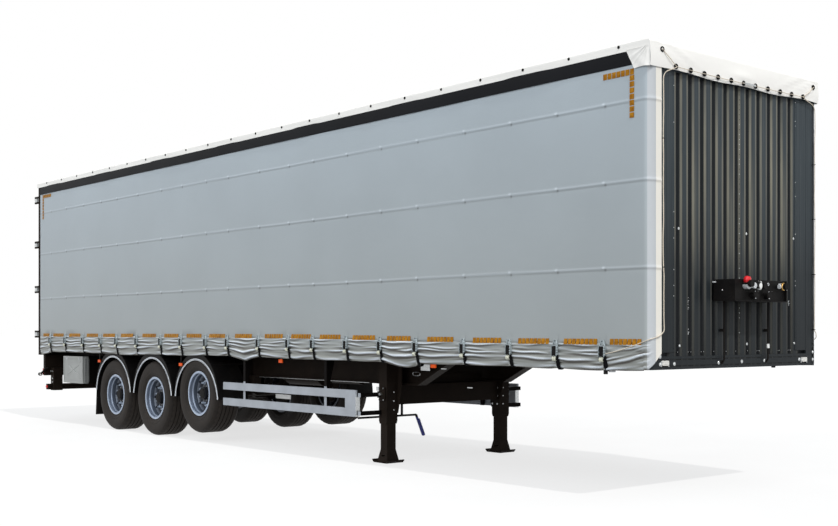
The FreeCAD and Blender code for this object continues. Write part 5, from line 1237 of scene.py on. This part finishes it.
def make_locker_details():
    """Crossed pressings, catches and a perforated edge on the locker, its holes as black discs of painted
    shade in steel rings.
    """
    build = Build(galvanised, plastic_black, steel)
    low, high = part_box("toolbox")
    rear, ahead = low.x + 0.038, low.x + 0.722
    middle = (low.z + high.z) / 2
    for way in (-1, 1):
        build.tube([(rear + 0.13, low.y + 0.006, middle - way * 0.075),
                    ((rear + ahead) / 2, low.y + 0.003, middle),
                    (ahead - 0.13, low.y + 0.006, middle + way * 0.075)], 0.007, 8)
    for x in (rear + 0.10, ahead - 0.10):
        build.block((x - 0.020, low.y - 0.004, high.z - 0.060), (x + 0.020, low.y + 0.006, high.z - 0.012), 2,
                    0.004)
        build.block((x - 0.012, low.y - 0.012, high.z - 0.045), (x + 0.012, low.y - 0.002, high.z - 0.020), 2,
                    0.003)
    build.origin = Vector((low.x + 0.7745, low.y, low.z + 0.045))
    # black discs in steel rings: the holes, with painted shade for their dark insides
    for y in (0.045, 0.095):
        for k in range(9):
            build.rod((-0.003, y, k * 0.0425), (0.0015, y, k * 0.0425), 0.0105, 12, 1)
            build.ring((0.0012, y, k * 0.0425), X, 0.0115, 0.002, 12, 6, 2)
    build.object("locker_fittings")


def make_rear_underbody():
    """Marker lamps on rubber stalks, bar end lamps, lamp faces, end strips of the side guards and plates."""
    build = Build(rubber_black, amber, red_lens, clear_lens, plastic_black, zinc)
    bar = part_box("underrun_guard")[0].x
    lamp_low, lamp_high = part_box("rear_lamps")
    end_lamp = [(0, 0), (0.026, 0), (0.028, 0.006), (0.026, 0.016), (0.018, 0.022), (0, 0.024)]
    for side, hand in SIDES:
        across = (0, side, 0)
        build.lathe((bar + 0.128, side * 1.2005, 0.5625), across, end_lamp, 20, 2)
        start = Vector((FRONT - 13.43, side * 1.200, 0.875))
        tip = Vector((FRONT - 13.60, side * 1.245, 0.770))
        knee = start + Vector((-0.020, side * 0.035, -0.035))
        build.tube([start + Vector((0.03, -side * 0.02, 0.01)), start, knee,
                    (knee + tip) / 2 + Vector((0, 0, -0.004)), tip], 0.015, 12)
        along = Vector((0.030, 0, 0))
        build.rod(tip - along, tip + along, 0.028, 18, 0, 0.006)
        for way, lens in ((-1, 2), (1, 3)):
            build.dome(tip + along * way, (way, 0, 0), 0.022, 0.010, 16, lens)
        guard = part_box(f"side_guard_{hand}")[0].z
        build.block((GUARD_END + 0.001, side * 1.192, guard + 0.002),
                    (GUARD_END + 0.005, side * 1.249, guard + 0.238), 5, 0.001)
        for k, lens in enumerate((1, 2, 2, 3)):
            outer = 1.205 - 0.098 * k
            build.block((lamp_low.x - 0.004, side * outer, lamp_low.z + 0.010),
                        (lamp_low.x + 0.003, side * (outer - 0.092), lamp_high.z - 0.010), lens, 0.003)
        for x, z in itertools.product((bar + 0.09, bar + 0.16), (0.64, 0.70, 0.82)):
            build.hexagon((x, side * 1.1195, z), across, 0.022, 0.009, 5)
    build.block((-6.32, -1.004, 0.640), (-5.872, -0.998, 0.900), 4, 0.002)
    build.block((-6.78, -0.800, 1.070), (-5.90, -0.794, 1.118), 4, 0.002)
    build.object("rear_light_fittings")


def make_leg_details():
    """Bolts on the leg plates, gearbox cover, label blanks, plates on the beam and the crank's grip."""
    leg_x = FRONT - 4.271
    build = Build(zinc, paint_black, white_plastic, rubber_black, blue_grip, origin=(leg_x, 0, 0))
    for side in (-1, 1):
        for z in (0.60, 0.70, 0.80, 0.92, 1.02, 1.12):
            for way in (-1, 1):
                build.hexagon((way * (0.045 if z < 0.85 else 0.10), side * 0.7735, z), (0, -side, 0), 0.020,
                              0.010)
        for z in (0.60, 0.70, 0.80):
            build.dome((0.0755, side * 0.835, z), X, 0.009, 0.006, 12)
        build.block((-0.055, side * 0.935, 0.70), (0.055, side * 0.960, 0.86), 1, 0.012)
        for x, z in itertools.product((-0.042, 0.042), (0.715, 0.845)):
            build.hexagon((x, side * 0.960, z), (0, side, 0), 0.012, 0.006)
        build.rod((0, side * 0.955, 0.78), (0, side * 0.992, 0.78), 0.016, 14)
        build.rod((-0.070, side * 0.860, 0.078), (0.070, side * 0.860, 0.078), 0.014, 14)
    build.block((-0.125, -0.938, 0.815), (-0.075, -0.934, 0.860), 2, 0.001)
    build.block((-2.604, -0.752, 0.618), (-2.239, -0.747, 0.674), 2, 0.001)
    build.origin = Vector()
    beam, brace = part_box("main_beams")[0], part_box("landing_brace")[0].x
    build.block((brace - 0.012, -0.60, beam.z - 0.02), (brace - 0.002, 0.60, beam.z + 0.11), 1, 0.003)
    # flange edge, plates, slot and tabs on the beam's near side
    for x0, x1, out, into, z0, z1, chamfer in (
            (-0.60, 1.90, 0.0015, 0.0005, beam.z + 0.001, beam.z + 0.007, 0.0005),
            (2.899, 3.061, 0.010, 0.001, 1.050, 1.125, 0.003),
            (3.254, 3.341, 0.006, 0.001, 1.074, 1.086, 0.002),
            (3.700, 3.780, 0.006, 0.001, beam.z + 0.002, beam.z + 0.014, 0.002)):
        build.block((x0, beam.y - out, z0), (x1, beam.y + into, z1), 0, chamfer)
    turns = np.linspace(0, 2 * math.pi, 33)
    build.tube([(2.813 + 0.066 * math.copysign(abs(math.cos(a)) ** 0.5, math.cos(a)), beam.y - 0.002,
                 1.011 + 0.020 * math.sin(a)) for a in turns], 0.0030, 6)
    for x, z in ((2.17, 0.905), (2.23, 0.915)):
        build.hexagon((x, beam.y, z), (0, -1, 0), 0.020, 0.012)
    low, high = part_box("landing_crank")
    shaft, fold = Vector(((low.x + high.x) / 2, -0.392, 0.515)), math.radians(23)
    down = Vector((0, math.sin(fold), -math.cos(fold)))
    build.rod(shaft + down * 0.055, shaft + down * 0.268, 0.0185, 18, 4, 0.004)
    for t in (0.085, 0.125, 0.165, 0.205, 0.245):
        build.ring(shaft + down * t, down, 0.0185, 0.0022, 18, 6, 4)
    build.object("leg_fittings")


for side, hand in SIDES:
    make_guard_trims(side, hand)
make_locker_details()
make_rear_underbody()
make_leg_details()


# ---- rear doors

def make_door_details(side, hand):
    """Seals, lock bar guides, rivets and reflective fields on a leaf, with x from the body's rear end."""
    build = Build(rubber_black, zinc, plastic_black, red_lens, origin=(FRONT - BODY_LENGTH, 0, 0))
    low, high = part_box(f"door_{hand}")
    inner, outer, z0, z1, wide = side * 0.006, side * (HALF - 0.040), low.z, high.z, 0.016
    for ya, za, yb, zb in ((inner, z0, inner + side * wide, z1), (outer - side * wide, z0, outer, z1),
                           (inner, z0, outer, z0 + wide), (inner, z1 - wide, outer, z1)):
        build.block((-0.006, ya, za), (0.004, yb, zb), 0, 0.003)
    for y in (side * 0.206, side * 0.856):
        for z in (z0 + 0.020, z1 - 0.050):
            build.block((-0.034, y - 0.030, z - 0.010), (-0.002, y + 0.030, z + 0.024), 1, 0.004)
            build.rod((-0.024, y, z - 0.030), (-0.024, y, z + 0.045), 0.019, 16, 1)
        for z, dy in itertools.product((z0 + 0.08, (z0 + z1) / 2 + 0.03, z1 - 0.09), (-0.026, 0.026)):
            build.dome((-0.0225, y + dy, z), (-1, 0, 0), 0.006, 0.004, 10, 1)
    for k, dy in itertools.product(range(4), (0.26, 0.20, 0.14)):
        z = z0 + 0.25 + (z1 - z0 - 0.5) / 3 * k
        build.dome((-0.0062, side * (HALF - dy), z), (-1, 0, 0), 0.008, 0.005, 12, 1)
    for k in range(5):
        build.block((-0.0014, side * (0.30 + 0.11 * k), 1.475), (0.001, side * (0.395 + 0.11 * k), 1.525), 3,
                    0.0004)
    build.object(f"door_fittings_{hand}", f"door_{hand}")


for side, hand in SIDES:
    make_door_details(side, hand)


# ---- floor, light and camera

def background_rays(tree):
    """One for the rays that show the plain background: the camera's, from gloss and through glass."""
    rays = tree.nodes.new("ShaderNodeLightPath").outputs
    kinds = ("Is Camera Ray", "Is Glossy Ray", "Is Transmission Ray")
    return functools.reduce(operator.or_, [Field(tree, rays[kind]) for kind in kinds])


def make_stage():
    """Pale floor that reads white to the camera and still takes the trailer's shadow."""
    n = Nodes("studio_floor")
    tone = n.ramp(n.noise(0.6), (0.3, (0.24, 0.24, 0.24, 1)), (0.7, (0.26, 0.26, 0.26, 1)))
    n.done(tone, 0.9, spec=0.0)
    glow = n.wire("ShaderNodeEmission", 0, {"Color": (1, 1, 1, 1),
                                            "Strength": background_rays(n.tree) * 0.725})
    both = n.wire("ShaderNodeAddShader", 0, {0: Field(n.tree, n.shader.outputs[0]), 1: glow})
    n.tree.links.new(both.socket, n.tree.nodes["Material Output"].inputs["Surface"])
    size = 400.0
    mesh = bpy.data.meshes.new("studio_floor")
    mesh.from_pydata([(-size, -size, 0), (size, -size, 0), (size, size, 0), (-size, size, 0)], [],
                     [[0, 1, 2, 3]])
    mesh.materials.append(n.material)
    floor = bpy.data.objects.new("studio_floor", mesh)
    bpy.context.scene.collection.objects.link(floor)


def make_world():
    """Soft blue-white light from all round that shows as plain white."""
    world = bpy.data.worlds.new("studio")
    bpy.context.scene.world = world
    world.use_nodes = True
    tree = world.node_tree
    light, white = tree.nodes["Background"], tree.nodes.new("ShaderNodeBackground")
    mix = tree.nodes.new("ShaderNodeMixShader")
    for back, colour, strength in ((light, (0.93, 0.965, 1.0, 1), 0.66), (white, (1, 1, 1, 1), 1.0)):
        back.inputs["Color"].default_value = colour
        back.inputs["Strength"].default_value = strength
    feed(tree, mix.inputs[0], background_rays(tree))
    tree.links.new(light.outputs[0], mix.inputs[1])
    tree.links.new(white.outputs[0], mix.inputs[2])
    tree.links.new(mix.outputs[0], tree.nodes["World Output"].inputs["Surface"])


def make_sun(name, direction, strength, angle, colour):
    light = bpy.data.lights.new(name, "SUN")
    light.energy, light.angle, light.color = strength, math.radians(angle), colour
    lamp = bpy.data.objects.new(name, light)
    lamp.rotation_mode = "QUATERNION"
    lamp.rotation_quaternion = (-Vector(direction)).to_track_quat("-Z", "Y")
    bpy.context.scene.collection.objects.link(lamp)


def make_camera():
    """The photograph's camera: focal length and centre in pixels of its 838 by 526 frame."""
    focal, centre_x, centre_y = 1184.05, 520, 331.78
    data = bpy.data.cameras.new("camera")
    camera = bpy.data.objects.new("camera", data)
    bpy.context.scene.collection.objects.link(camera)
    data.sensor_width = 36
    data.lens = focal * 36 / 838
    data.shift_x = -(centre_x - 419) / 838
    data.shift_y = (centre_y - 263) / 838
    data.clip_start, data.clip_end = 0.1, 900
    camera.location = (FRONT + 6.6444, -8.949, 1.4865)
    camera.rotation_euler = (math.pi / 2, 0, 0.8222)
    bpy.context.scene.camera = camera


make_stage()
make_world()
make_sun("key", (0.80, -0.10, 1.0), 1.85, 1.5, (1.0, 0.985, 0.955))
make_sun("fill", (0.35, -1.0, 0.45), 1.28, 60, (0.95, 0.98, 1.0))
make_camera()

scene = bpy.context.scene
scene.view_settings.view_transform = "Standard"
